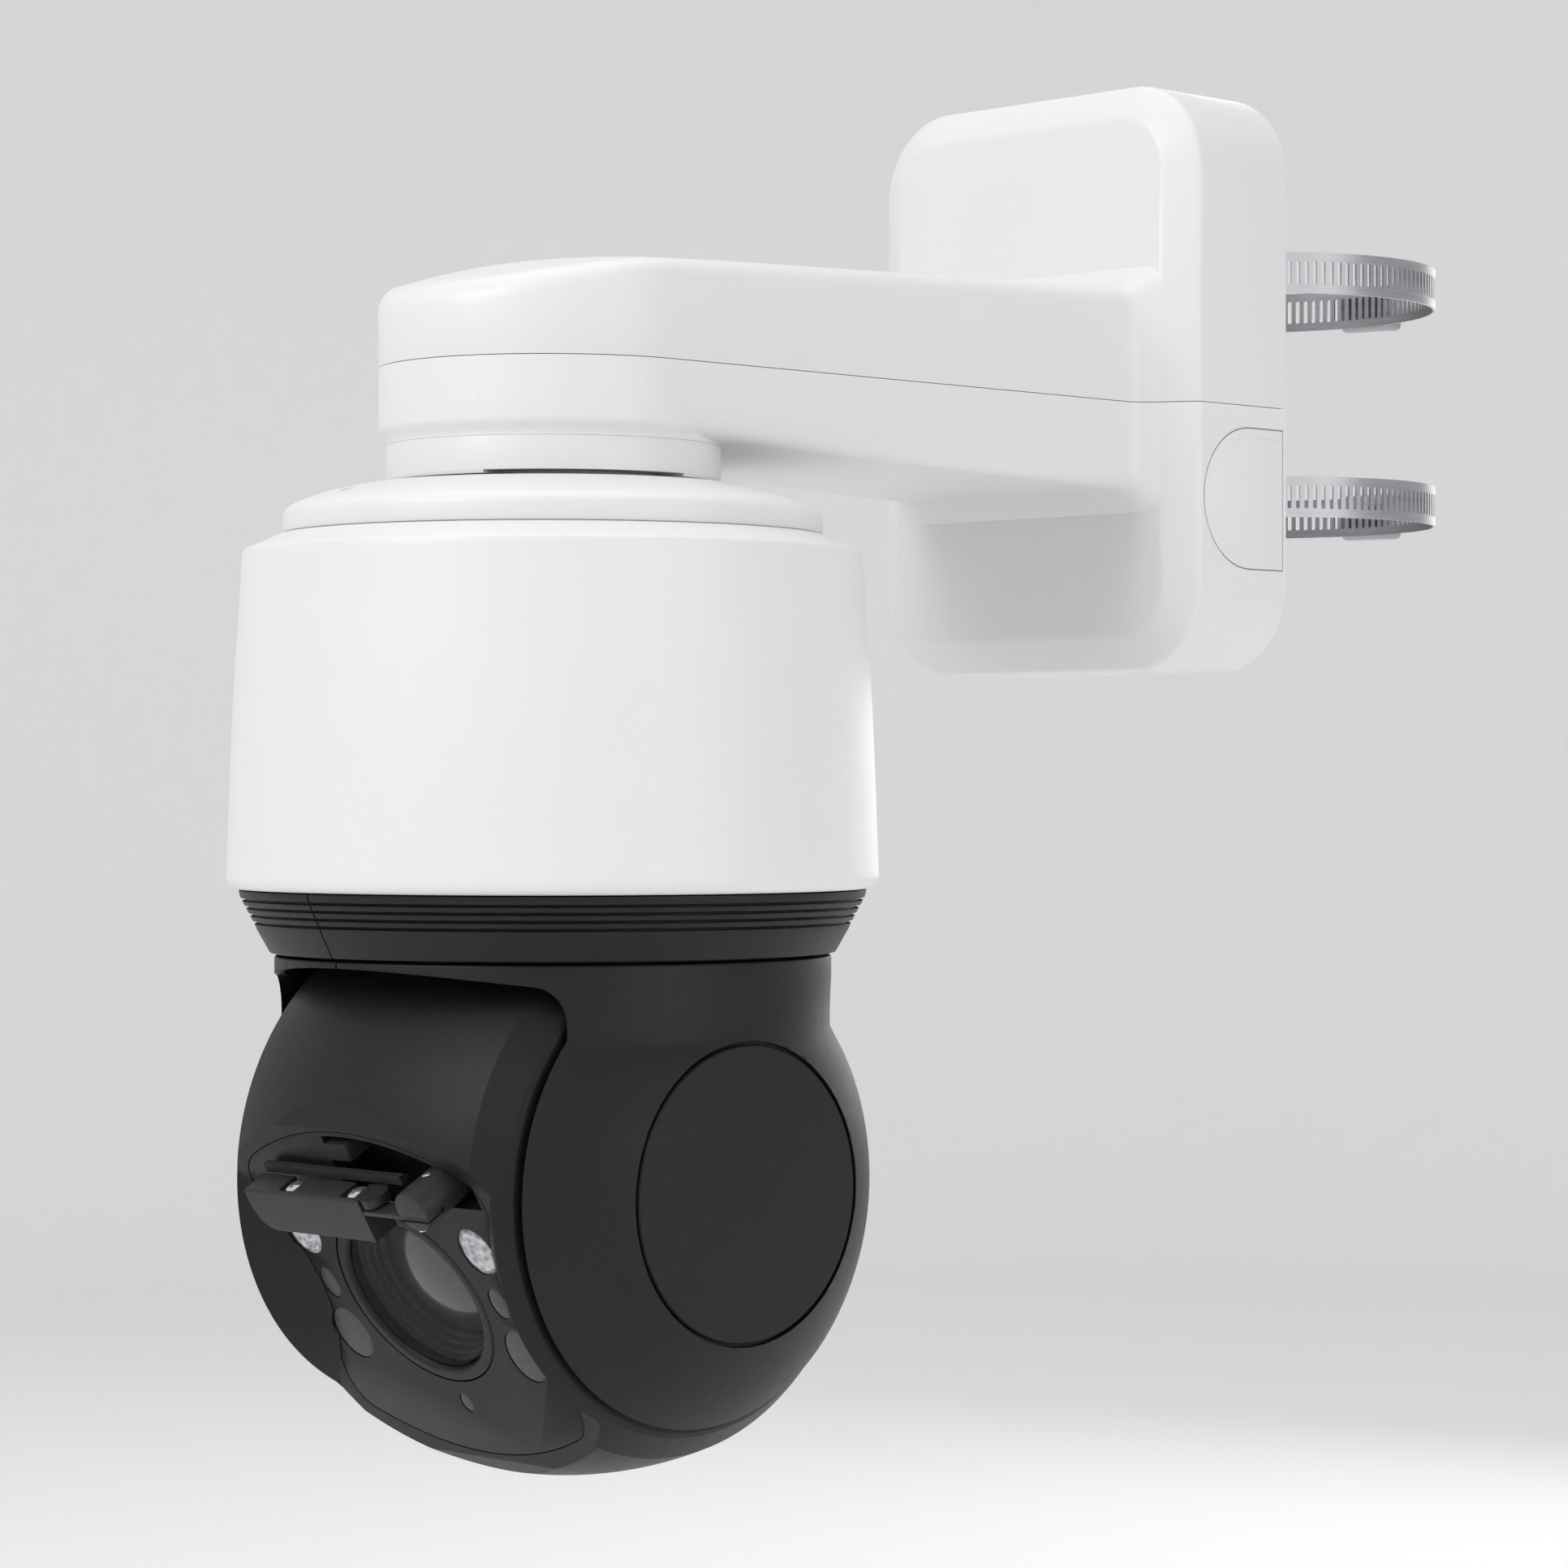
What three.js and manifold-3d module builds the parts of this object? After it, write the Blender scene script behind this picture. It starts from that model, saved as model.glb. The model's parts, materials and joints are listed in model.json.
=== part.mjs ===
// Outdoor pan-tilt-zoom camera on a pole bracket, in millimetres, +Z up.
// Origin: on the wall box's back face, between its sides. +Y goes into the pole, the arm reaches along -Y.
// The camera turns about a vertical pan axis under the arm's tip, and its module nods about a
// horizontal tilt axis. A wiper swings over the front window.

import * as THREE from 'three';
import { mergeVertices } from 'three/addons/utils/BufferGeometryUtils.js';
import Module from 'manifold-3d';

const wasm = await Module();
wasm.setup();

// ---------------------------------------------------------------- driving dimensions
const REACH = 268.5; // pan axis to the back face of the wall box
const CAMERA_Z = -136; // the camera's own zero height, level with the middle of the sunshield
const TILT_DROP = 120; // tilt axis below that height
const TILT_REST = THREE.MathUtils.degToRad(30.6); // the lens looks this far below the horizon
const GAP = 0.3; // clearance between touching pieces
const SEAM = 0.6; // visible joint between two halves of a casing

const SHIELD_R = 100.4; // widest radius of the sunshield
const DOME_R = 83;
const COLLAR_R = 51.7;
const NECK_R = 85.7;
const SPHERE_R = 97.5; // the yoke's cheeks are caps of this sphere
const CHEEK_X = 66.6; // inner faces of the cheeks
const YOKE_WALL = 3;

const MODULE_R = 91; // camera module: a barrel about the tilt axis
const MODULE_CREST_X = 54;
const MODULE_END_X = 64;
const MODULE_END_R = 74;
const MODULE_WALL = 3;
const FACE_H = 64.65; // flat front of the module, from the tilt axis
const MODULE_SEAM_H = -8; // front bezel and rear shell meet here

const ARM_HALF = 54; // half width of the arm, and radius of its round tip
const ARM_EDGE = 7; // rounding of the arm's long edges
const PART_Z = -7.5; // cover and body of the bracket meet at this height
const BOX_HALF_X = 72;
const BOX_HALF_Z = 98.6;
const BOX_RISE = 1.9; // the box's middle is this far above the frame's origin
const BOX_CORNER = 29;
const BOX_FRONT_Y = -51.8;
const BOX_CHAMFER_OUT = 11.3;
const BOX_CHAMFER_DEEP = 6.3;
const BOX_WALL = 4;

const POLE_R = 67; // the pole that the bracket is strapped to
const BAND_WIDTH = 14.5;
const BAND_THICK = 1;
const BAND_HEIGHTS = [42.8, -35.1];
const SLOT_X = 34; // where a band enters the back plate

const PAN_TEETH = 40;
const PAN_PINION_TEETH = 10;
const PAN_MODULE = 2.7; // gear tooth size: pitch diameter over teeth
const TILT_TEETH = 32;
const TILT_PINION_TEETH = 8;
const TILT_MODULE = 1.5;

const FINE = 28; // facets round a large circle
const COARSE = 16; // facets round a small one

// ---------------------------------------------------------------- finishes
function finish(color, roughness, metalness = 0) {
  return new THREE.MeshStandardMaterial({ color, roughness, metalness });
}
const paint = finish(0xe3e4e4, 0.45);
const charcoal = finish(0x3a3c3f, 0.6);
const blackPlastic = finish(0x17181a, 0.55);
const rubber = finish(0x101011, 0.85);
const glass = finish(0x15171c, 0.08);
const lensGlass = finish(0x2a3040, 0.05);
const steel = finish(0xb9bcc0, 0.3, 1);
const aluminium = finish(0xa7a9ac, 0.45, 0.9);
const nylon = finish(0xd9d4c4, 0.6);
const board = finish(0x1d5a35, 0.6);

// ---------------------------------------------------------------- solids
// A closed three.js geometry becomes an exact solid, turned right side out if it was inside out.
function solid(geometry) {
  let flat = geometry.index ? geometry.toNonIndexed() : geometry.clone();
  for (const name of Object.keys(flat.attributes)) {
    if (name !== 'position') flat.deleteAttribute(name);
  }
  flat = mergeVertices(flat, 1e-4);
  const points = flat.attributes.position.array;
  const index = Array.from(flat.index.array);
  const triangles = [];
  let volume = 0;
  const a = new THREE.Vector3();
  const b = new THREE.Vector3();
  const c = new THREE.Vector3();
  for (let i = 0; i < index.length; i += 3) {
    const [p, q, r] = [index[i], index[i + 1], index[i + 2]];
    if (p === q || q === r || r === p) continue;
    triangles.push(p, q, r);
    a.fromArray(points, 3 * p);
    b.fromArray(points, 3 * q);
    c.fromArray(points, 3 * r);
    volume += a.dot(b.cross(c));
  }
  const triVerts = new Uint32Array(volume < 0 ? triangles.reverse() : triangles);
  const vertProperties = new Float32Array(points);
  return new wasm.Manifold(new wasm.Mesh({ numProp: 3, vertProperties, triVerts }));
}

function union(...parts) {
  return parts.reduce((sum, part) => sum.add(part));
}

function cut(body, ...tools) {
  return tools.reduce((rest, tool) => rest.subtract(tool), body);
}

function meshOf(name, material, body) {
  const { numProp, vertProperties, triVerts } = body.getMesh();
  const positions = new Float32Array((vertProperties.length / numProp) * 3);
  for (let i = 0, k = 0; i < vertProperties.length; i += numProp) {
    positions[k++] = vertProperties[i];
    positions[k++] = vertProperties[i + 1];
    positions[k++] = vertProperties[i + 2];
  }
  const geometry = new THREE.BufferGeometry();
  geometry.setAttribute('position', new THREE.BufferAttribute(positions, 3));
  geometry.setIndex(new THREE.BufferAttribute(new Uint32Array(triVerts), 1));
  const mesh = new THREE.Mesh(geometry, material);
  mesh.name = name;
  return mesh;
}

// A block between two corners.
function block([x0, x1], [y0, y1], [z0, z1]) {
  const geometry = new THREE.BoxGeometry(x1 - x0, y1 - y0, z1 - z0);
  return solid(geometry.translate((x0 + x1) / 2, (y0 + y1) / 2, (z0 + z1) / 2));
}

// A closed profile of [radius, height] points turned about Z.
function turned(points, segments = FINE) {
  const closed = points[0][0] === 0 && points.at(-1)[0] === 0 ? points : [...points, points[0]];
  const profile = closed.map(([r, z]) => new THREE.Vector2(r, z));
  return solid(new THREE.LatheGeometry(profile, segments).rotateX(Math.PI / 2));
}

// A tube or, with no inner radius, a rod about Z.
function tube(outer, inner, z0, z1, segments = COARSE) {
  if (inner === 0) return turned([[0, z0], [outer, z0], [outer, z1], [0, z1]], segments);
  return turned([[inner, z0], [outer, z0], [outer, z1], [inner, z1]], segments);
}

const X_AXIS = new THREE.Matrix4().makeRotationY(Math.PI / 2); // +Z of a turned piece becomes +X

function moved(body, matrix) {
  return body.transform(matrix.elements);
}

function shifted(body, x, y, z) {
  return body.translate([x, y, z]);
}

// A turned piece laid along X, with its heights counted along +X or, on the left side, along -X.
function alongX(body, side = 1) {
  const laid = moved(body, X_AXIS);
  return side > 0 ? laid : laid.mirror([1, 0, 0]);
}

// A flat outline given thickness along Z.
function plate(shape, z0, z1, options = {}) {
  const settings = { depth: z1 - z0, bevelEnabled: false, curveSegments: 10, ...options };
  return solid(new THREE.ExtrudeGeometry(shape, settings).translate(0, 0, z0));
}

function outline(points) {
  return new THREE.Shape(points.map(([x, y]) => new THREE.Vector2(x, y)));
}

function roundedRectangle(halfX, halfY, r) {
  const shape = new THREE.Shape();
  shape.absarc(halfX - r, halfY - r, r, 0, Math.PI / 2);
  shape.absarc(r - halfX, halfY - r, r, Math.PI / 2, Math.PI);
  shape.absarc(r - halfX, r - halfY, r, Math.PI, 1.5 * Math.PI);
  shape.absarc(halfX - r, r - halfY, r, 1.5 * Math.PI, 2 * Math.PI);
  return shape;
}

function ellipse(x, y, rx, ry) {
  return new THREE.Shape().absellipse(x, y, rx, ry, 0, 2 * Math.PI);
}

// Points on an arc of a circle about the origin of a profile.
function arc(radius, from, to, steps, [centreR, centreZ] = [0, 0]) {
  return Array.from({ length: steps + 1 }, (_, i) => {
    const angle = from + ((to - from) * i) / steps;
    return [centreR + radius * Math.cos(angle), centreZ + radius * Math.sin(angle)];
  });
}

// A spur gear about Z with short, slack teeth; a tooth points along +X.
function gear(teeth, size, bore, z0, z1) {
  const pitch = (teeth * size) / 2;
  const tip = pitch + 0.65 * size;
  const root = pitch - 0.95 * size;
  const step = (2 * Math.PI) / teeth;
  const points = [];
  for (let i = 0; i < teeth; i++) {
    const middle = i * step;
    const corners = [[root, -0.25], [tip, -0.1], [tip, 0.1], [root, 0.25]];
    for (const [r, share] of corners) {
      points.push([r * Math.cos(middle + share * step), r * Math.sin(middle + share * step)]);
    }
  }
  const shape = outline(points);
  const hole = new THREE.Path();
  hole.absarc(0, 0, bore, 0, 2 * Math.PI);
  shape.holes.push(hole);
  return plate(shape, z0, z1, { curveSegments: 16 });
}

// ---------------------------------------------------------------- bracket: wall box and arm
const bracket = new THREE.Group();

// Seen from above, the arm is a straight bar with a round tip about the pan axis.
function armPlan(half) {
  const shape = new THREE.Shape();
  shape.moveTo(half, REACH + BOX_FRONT_Y + BOX_CHAMFER_DEEP);
  shape.lineTo(-half, REACH + BOX_FRONT_Y + BOX_CHAMFER_DEEP);
  shape.absarc(0, 0, half, Math.PI, 2 * Math.PI);
  return shape;
}

// The arm grows deeper towards the box: its top rises and its underside falls along t, the distance
// from the pan axis.
const armTop = (t) => 23.8 + 0.0355 * t;
const armUnder = (t) => -29.5 - 0.034 * t;

function armSolid(inset) {
  const edge = ARM_EDGE - inset * 0.8;
  const settings = {
    depth: 100 - 2 * edge,
    bevelEnabled: true,
    bevelThickness: edge,
    bevelSize: edge,
    bevelOffset: -edge,
    bevelSegments: 1,
    curveSegments: 10,
  };
  const geometry = new THREE.ExtrudeGeometry(armPlan(ARM_HALF - inset), settings);
  geometry.translate(0, 0, edge - 50);
  const place = geometry.attributes.position;
  for (let i = 0; i < place.count; i++) {
    const t = place.getY(i);
    const z = place.getZ(i);
    const top = armTop(t) - inset;
    const under = armUnder(t) + inset;
    place.setZ(i, z > 0 ? top - (50 - z) : under + (z + 50));
  }
  geometry.translate(0, -REACH, 0);
  return solid(geometry);
}

// The tip's top slopes down from just in front of the pan axis.
function tipCut(inset) {
  const slope = outline([[-12, 23.4 - inset], [-70, 11.4 - inset], [-70, 60], [-12, 60]]);
  const upright = new THREE.ExtrudeGeometry(slope, { depth: 140, bevelEnabled: false });
  upright.rotateX(Math.PI / 2).rotateZ(Math.PI / 2);
  return solid(upright.translate(-70, -REACH, 0));
}

// The wall box: a rounded slab with one broad chamfer round its front.
function boxSolid(inset) {
  const chamfer = BOX_CHAMFER_OUT - inset * 0.6;
  const deep = BOX_CHAMFER_DEEP;
  const shape = roundedRectangle(BOX_HALF_X - inset, BOX_HALF_Z - inset, BOX_CORNER - inset);
  const settings = {
    depth: 2 * (-BOX_FRONT_Y - deep - inset),
    bevelEnabled: true,
    bevelThickness: deep,
    bevelSize: chamfer,
    bevelOffset: -chamfer,
    bevelSegments: 1,
    curveSegments: 6,
  };
  const geometry = new THREE.ExtrudeGeometry(shape, settings);
  geometry.translate(0, BOX_RISE, -settings.depth / 2).rotateX(Math.PI / 2);
  return cut(solid(geometry), block([-90, 90], [0, 80], [-120, 120]));
}

// Where the arm grows out of the box its outline flares.
function armRoot() {
  const y = REACH + BOX_FRONT_Y;
  const shape = new THREE.Shape();
  shape.moveTo(ARM_HALF - 2, y + 4);
  shape.lineTo(ARM_HALF + 6, y + 4);
  shape.lineTo(ARM_HALF + 6, y - 0.5);
  shape.quadraticCurveTo(ARM_HALF + 0.5, y - 1, ARM_HALF - 0.5, y - 10);
  shape.lineTo(ARM_HALF - 2, y - 10);
  const z0 = armUnder(y) + ARM_EDGE;
  const z1 = armTop(y) - ARM_EDGE;
  const wing = shifted(plate(shape, z0, z1), 0, -REACH, 0);
  return union(wing, wing.mirror([1, 0, 0]));
}

const bracketOuter = union(cut(armSolid(0), tipCut(0)), boxSolid(0), armRoot());
const throat = block([-40, 40], [-56, -40], [-20, 12]); // joins the arm's hollow to the box's
const bracketHollow = union(cut(armSolid(BOX_WALL), tipCut(BOX_WALL)), boxSolid(BOX_WALL), throat);
const plateRecess = solid(
  new THREE.ExtrudeGeometry(roundedRectangle(66, 91, 24), { depth: 5, bevelEnabled: false })
    .rotateX(Math.PI / 2)
    .translate(0, 0.5, 0),
);
const boss = shifted(tube(52.6, 0, -31.3, -24, FINE), 0, -REACH, 0);
const bossBore = shifted(tube(44.5, 0, -40, -20, FINE), 0, -REACH, 0);
const casting = cut(union(bracketOuter, boss), bracketHollow, plateRecess, bossBore);

const above = block([-200, 200], [-400, 100], [PART_Z + SEAM / 2, 300]);
const below = block([-200, 200], [-400, 100], [-300, PART_Z - SEAM / 2]);

// A D-shaped cover closes the cable entry on each side of the box.
function coverShape(inset) {
  const shape = new THREE.Shape();
  const half = 23.6 - inset;
  shape.moveTo(0, half);
  shape.lineTo(0, -half);
  shape.lineTo(-17.4, -half);
  shape.absarc(-17.4, 0, half, 1.5 * Math.PI, 0.5 * Math.PI, true);
  return shape;
}

function entryCover(side, grow, x0, x1) {
  const body = plate(coverShape(grow), x0, x1);
  const upright = new THREE.Matrix4().makeBasis(
    new THREE.Vector3(0, 1, 0),
    new THREE.Vector3(0, 0, 1),
    new THREE.Vector3(1, 0, 0),
  );
  const placed = shifted(moved(body, upright), 0, -2, -38.8);
  return side > 0 ? placed : placed.mirror([1, 0, 0]);
}

const entryHoles = [1, -1].map((side) => entryCover(side, 2, BOX_HALF_X - 6, BOX_HALF_X + 6));
const entryRims = [1, -1].map((side) => entryCover(side, -GAP, BOX_HALF_X - 1.2, BOX_HALF_X + 6));
const upperCasting = cut(casting.intersect(above), ...entryRims);
const lowerCasting = cut(casting.intersect(below), ...entryHoles, ...entryRims);
bracket.add(meshOf('bracket_cover', paint, upperCasting));
bracket.add(meshOf('bracket_body', paint, lowerCasting));
bracket.add(meshOf('cable_entry_cover_right', paint, entryCover(1, 0, 70.9, 72.5)));
bracket.add(meshOf('cable_entry_cover_left', paint, entryCover(-1, 0, 70.9, 72.5)));

// A seal lies in the joint, set back from the outside.
const sealRing = cut(armSolid(1.6), armSolid(3.6)).intersect(
  block([-60, 60], [-400, BOX_FRONT_Y], [PART_Z - 0.2, PART_Z + 0.2]),
);
bracket.add(meshOf('bracket_seal', rubber, sealRing));

// The back plate fills the box's back. Each band enters it through two upright slots.
function slotTool(side, z) {
  const edges = [side * (SLOT_X - 2), side * (SLOT_X + 7)].sort((a, b) => a - b);
  return block(edges, [-8, 2], [z - 9, z + 9]);
}
const slotTools = BAND_HEIGHTS.flatMap((z) => [1, -1].map((side) => slotTool(side, z)));
const backPlate = solid(
  new THREE.ExtrudeGeometry(roundedRectangle(65.7, 90.7, 23.7), {
    depth: 4.5,
    bevelEnabled: false,
    curveSegments: 8,
  }).rotateX(Math.PI / 2),
);
bracket.add(meshOf('back_plate', aluminium, cut(backPlate, ...slotTools)));

// A band runs round the pole, leaves it on a tangent and crosses behind the back plate's web.
function bandPath(out) {
  const r = POLE_R + GAP + out;
  const slot = new THREE.Vector2(SLOT_X, -5.2 - out);
  const far = Math.hypot(slot.x, POLE_R - slot.y);
  const leave = Math.acos(r / far) + Math.atan2(slot.x, POLE_R - slot.y);
  const points = arc(r, leave - Math.PI / 2, 1.5 * Math.PI - leave, 40, [0, POLE_R]);
  return [[slot.x, slot.y], ...points, [-slot.x, slot.y]];
}

for (const [i, z] of BAND_HEIGHTS.entries()) {
  const name = ['upper', 'lower'][i];
  const loop = outline(bandPath(BAND_THICK));
  loop.holes.push(new THREE.Path(bandPath(0).map(([x, y]) => new THREE.Vector2(x, y))));
  const strap = plate(loop, z - BAND_WIDTH / 2, z + BAND_WIDTH / 2);
  // The worm housing is riveted to the band where it laps, behind the pole.
  const back = 2 * POLE_R + GAP + BAND_THICK;
  const house = block([-11, 11], [back - 0.5, back + 11], [z - 8.5, z + 8.5]);
  const bore = shifted(alongX(tube(4.2, 0, -20, 20)), 0, back + 5.8, z);
  bracket.add(meshOf(`band_${name}`, steel, cut(union(strap, house), bore)));
  const screw = union(tube(3.8, 0, -13, 12, 16), tube(5.4, 0, 12, 18, 6));
  bracket.add(meshOf(`band_screw_${name}`, steel, shifted(alongX(screw), 0, back + 5.8, z)));
}

// The supply and network lead, held inside the arm from the box to the camera's top.
const leadPoints = [[20, -20, -60], [18, -30, -20], [8, -60, -6], [0, -150, -5], [0, -240, -6]];
const lead = new THREE.CatmullRomCurve3(
  [...leadPoints, [0, -264, -14], [0, -REACH, -34], [0, -REACH, -52]].map(
    (p) => new THREE.Vector3(...p),
  ),
);
const leadRing = new THREE.Shape().absarc(0, 0, 4.5, 0, 2 * Math.PI);
const leadTube = new THREE.ExtrudeGeometry(leadRing, { steps: 24, curveSegments: 4, extrudePath: lead });
bracket.add(meshOf('feed_lead', rubber, solid(leadTube)));

// ---------------------------------------------------------------- fixed camera body
const camera = new THREE.Group();
camera.position.set(0, -REACH, CAMERA_Z);

camera.add(
  meshOf(
    'mount_collar',
    paint,
    turned([[39, 93.6], [COLLAR_R, 93.6], [COLLAR_R, 104.4], [44, 104.4], [44, 114], [39, 114]]),
  ),
);

// Dome: flat on top under the collar, rolling over to an upright rim.
const domeOuter = [[COLLAR_R, 93.1], [60, 92.4], [70.8, 89.9], [80, 86.6], [DOME_R, 84]];
const domeInner = [[79, 84.2], [69, 87.1], [59, 89.6]];
camera.add(
  meshOf(
    'dome_cap',
    paint,
    turned([
      [9, 93.1], ...domeOuter, [DOME_R, 77.8], [80.5, 77.8], ...domeInner, [9, 90.3],
    ], 28),
  ),
);

camera.add(
  meshOf(
    'sunshield',
    paint,
    turned([
      [78, 75], [78, 77.4], [84, 77.4], [95.2, 72.4], [96.3, 57], [98.7, 17], [SHIELD_R, -28],
      [96.6, -31.2], [94.4, -31.2], [95.4, 17], [92.3, 69.5], [83.5, 75],
    ], 36),
  ),
);

// The inner can carries the boards and the pan drive, and closes on the base plate.
camera.add(
  meshOf(
    'base_can',
    aluminium,
    turned([
      [9, 66], [9, 69], [86, 69], [90, 65], [90, -31], [87, -31], [87, 64], [85, 66],
    ]),
  ),
);
camera.add(
  meshOf(
    'base_plate',
    aluminium,
    cut(
      turned([[26.4, -11], [86.6, -11], [86.6, -7], [32, -7], [32, 0], [26.4, 0]]),
      shifted(tube(4, 0, -20, 0), (PAN_MODULE * (PAN_TEETH + PAN_PINION_TEETH)) / 2, 0, 0),
    ),
  ),
);

// Rain skirt: a stepped black ring in two halves, joined front and back.
const fins = Array.from({ length: 4 }, (_, i) => {
  const z = -33.7 - 2.4 * i;
  const r = 95 - 1.2 * i;
  return [[r, z], [r - 0.3, z - 2.4]];
}).flat();
const skirt = turned([
  [84, -31.6], [96.4, -31.6], [96.4, -33.7], ...fins, [87.2, -50.5], [83.2, -50.5],
], FINE);
const half = (side) => {
  const reach = side > 0 ? [SEAM / 2, 200] : [-200, -SEAM / 2];
  return block(reach, [-200, 200], [-300, 200]);
};
camera.add(meshOf('rain_skirt_right', charcoal, skirt.intersect(half(1))));
camera.add(meshOf('rain_skirt_left', charcoal, skirt.intersect(half(-1))));

// Boards and pan drive.
const PAN_DISTANCE = (PAN_MODULE * (PAN_TEETH + PAN_PINION_TEETH)) / 2;
const boardShape = (r) => plate(new THREE.Shape().absarc(0, 0, r, 0, 2 * Math.PI), 0, 1.6);
camera.add(meshOf('main_board', board, shifted(boardShape(74), 0, 0, 42)));
const panMotor = union(tube(17.5, 0, -6.6, 24), tube(2.5, 0, -12.6, -6.6, 16));
camera.add(meshOf('pan_motor', blackPlastic, shifted(panMotor, PAN_DISTANCE, 0, 0)));
camera.add(meshOf('pan_bearing_outer', steel, tube(26.1, 21.5, -10.8, -1)));

const panPinion = gear(PAN_PINION_TEETH, PAN_MODULE, 2.8, -18.4, -13);
const PAN_GAP_TURN = Math.PI + Math.PI / PAN_PINION_TEETH; // a gap faces the wheel's tooth
camera.add(
  meshOf(
    'pan_pinion',
    nylon,
    shifted(panPinion.rotate([0, 0, THREE.MathUtils.radToDeg(PAN_GAP_TURN)]), PAN_DISTANCE, 0, 0),
  ),
);

// ---------------------------------------------------------------- pan: yoke and what it carries
const pan = new THREE.Group();
camera.add(pan);

camera.add(meshOf('pan_gear', nylon, gear(PAN_TEETH, PAN_MODULE, 14.4, -18.4, -13.4)));
camera.add(
  meshOf(
    'pan_hub',
    aluminium,
    turned([[9, -20.7], [34, -20.7], [34, -18.7], [14, -18.7], [14, 12], [9, 12]]),
  ),
);
camera.add(meshOf('pan_bearing_inner', steel, tube(18.5, 14.3, -10.8, -1)));
camera.add(meshOf('slip_ring', steel, tube(8.4, 3, -20, 30)));

// Yoke: a neck over a sphere, with a slab taken out between the cheeks.
const sphereMeet = Math.asin(Math.sqrt(SPHERE_R ** 2 - NECK_R ** 2) / SPHERE_R);
function yokeProfile(inset) {
  const ball = arc(SPHERE_R - inset, sphereMeet, -Math.PI / 2, 10, [0, -TILT_DROP]);
  ball[10][0] = 0;
  return [
    [0, -21 - inset], [80 - inset, -21 - inset], [80 - inset, -51.5 - inset],
    [NECK_R - inset, -51.5 - inset], ...ball,
  ];
}

// The opening's upper edge bows down a little towards its rounded corners.
function openingSolid() {
  const top = Array.from({ length: 13 }, (_, i) => {
    const x = -60 + 10 * i;
    return [x, -53.6 - 4.4 * (x / 60.6) ** 2];
  });
  const shape = outline([[-CHEEK_X, -240], [-CHEEK_X, -66], [-65, -61], ...top, [65, -61],
    [CHEEK_X, -66], [CHEEK_X, -240]]);
  const geometry = new THREE.ExtrudeGeometry(shape, { depth: 240, bevelEnabled: false });
  return solid(geometry.rotateX(Math.PI / 2).translate(0, 120, 0));
}

const CAP_X = 86.7;
const CAP_R = 43.4;
const CAP_BULGE = 590; // radius of the caps' slight dome
const onTiltAxis = (body) => shifted(body, 0, 0, -TILT_DROP);
const innerWalls = [1, -1].map((side) =>
  onTiltAxis(
    union(
      alongX(tube(120, 0, CHEEK_X, CHEEK_X + YOKE_WALL, FINE), side),
      alongX(tube(16, 0, CHEEK_X, CHEEK_X + 5), side),
    ).intersect(block([-120, 120], [-120, 120], [-120, TILT_DROP - 60])),
  ),
);
const yokeCavity = cut(turned(yokeProfile(YOKE_WALL)), ...innerWalls);
const capHoles = [1, -1].map((side) => onTiltAxis(alongX(tube(CAP_R + 0.5, 0, 80, 110, FINE), side)));
const bearingSeats = [1, -1].map((side) => onTiltAxis(alongX(tube(13.3, 0, 60, 80), side)));
const yoke = cut(
  turned(yokeProfile(0)),
  openingSolid(),
  yokeCavity,
  tube(12, 0, -40, 0),
  ...capHoles,
  ...bearingSeats,
);
pan.add(meshOf('yoke_right', charcoal, yoke.intersect(half(1))));
pan.add(meshOf('yoke_left', charcoal, yoke.intersect(half(-1))));

// Round side caps, slightly domed, with a groove round each.
for (const [name, side] of [['right', 1], ['left', -1]]) {
  const top = CAP_X + 1.6 - CAP_BULGE;
  const dome = arc(CAP_BULGE, 0, Math.asin(CAP_R / CAP_BULGE), 2).map(([z, r]) => [r, z + top]);
  dome[0][0] = 0;
  const cap = turned([[0, 84], [CAP_R, 84], ...dome.reverse()], FINE);
  pan.add(meshOf(`side_cap_${name}`, charcoal, onTiltAxis(alongX(cap, side))));
  const bearing = tube(13, 8.3, CHEEK_X + 0.3, CHEEK_X + 5);
  pan.add(meshOf(`tilt_bearing_${name}`, steel, onTiltAxis(alongX(bearing, side))));
}

// Tilt drive, in the right cheek: a flat motor above the axis, its pinion on the tilt wheel.
const TILT_DISTANCE = (TILT_MODULE * (TILT_TEETH + TILT_PINION_TEETH)) / 2;
const tiltMotor = union(tube(13.5, 0, 70.2, 78.2), tube(2, 0, 78.2, 83, 16));
pan.add(meshOf('tilt_motor', blackPlastic, shifted(alongX(tiltMotor), 0, 0, TILT_DISTANCE - TILT_DROP)));
const tiltPinion = gear(TILT_PINION_TEETH, TILT_MODULE, 2.3, 79.2, 82.4);
const tiltPinionUpright = tiltPinion.rotate([0, 0, 180 / TILT_PINION_TEETH]);
pan.add(
  meshOf('tilt_pinion', nylon, shifted(alongX(tiltPinionUpright), 0, 0, TILT_DISTANCE - TILT_DROP)),
);

// ---------------------------------------------------------------- tilt: the camera module
// Modelled looking along -Y with its face upright; heights are measured along the lens axis.
const tilt = new THREE.Group();
tilt.position.set(0, 0, -TILT_DROP);
tilt.rotation.x = TILT_REST;
pan.add(tilt);

// +Z of a piece becomes the lens direction, -Y; its +Y becomes up; +X stays.
const LENS_WARD = new THREE.Matrix4().makeBasis(
  new THREE.Vector3(1, 0, 0),
  new THREE.Vector3(0, 0, 1),
  new THREE.Vector3(0, -1, 0),
);
const lensward = (body) => moved(body, LENS_WARD);

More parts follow.
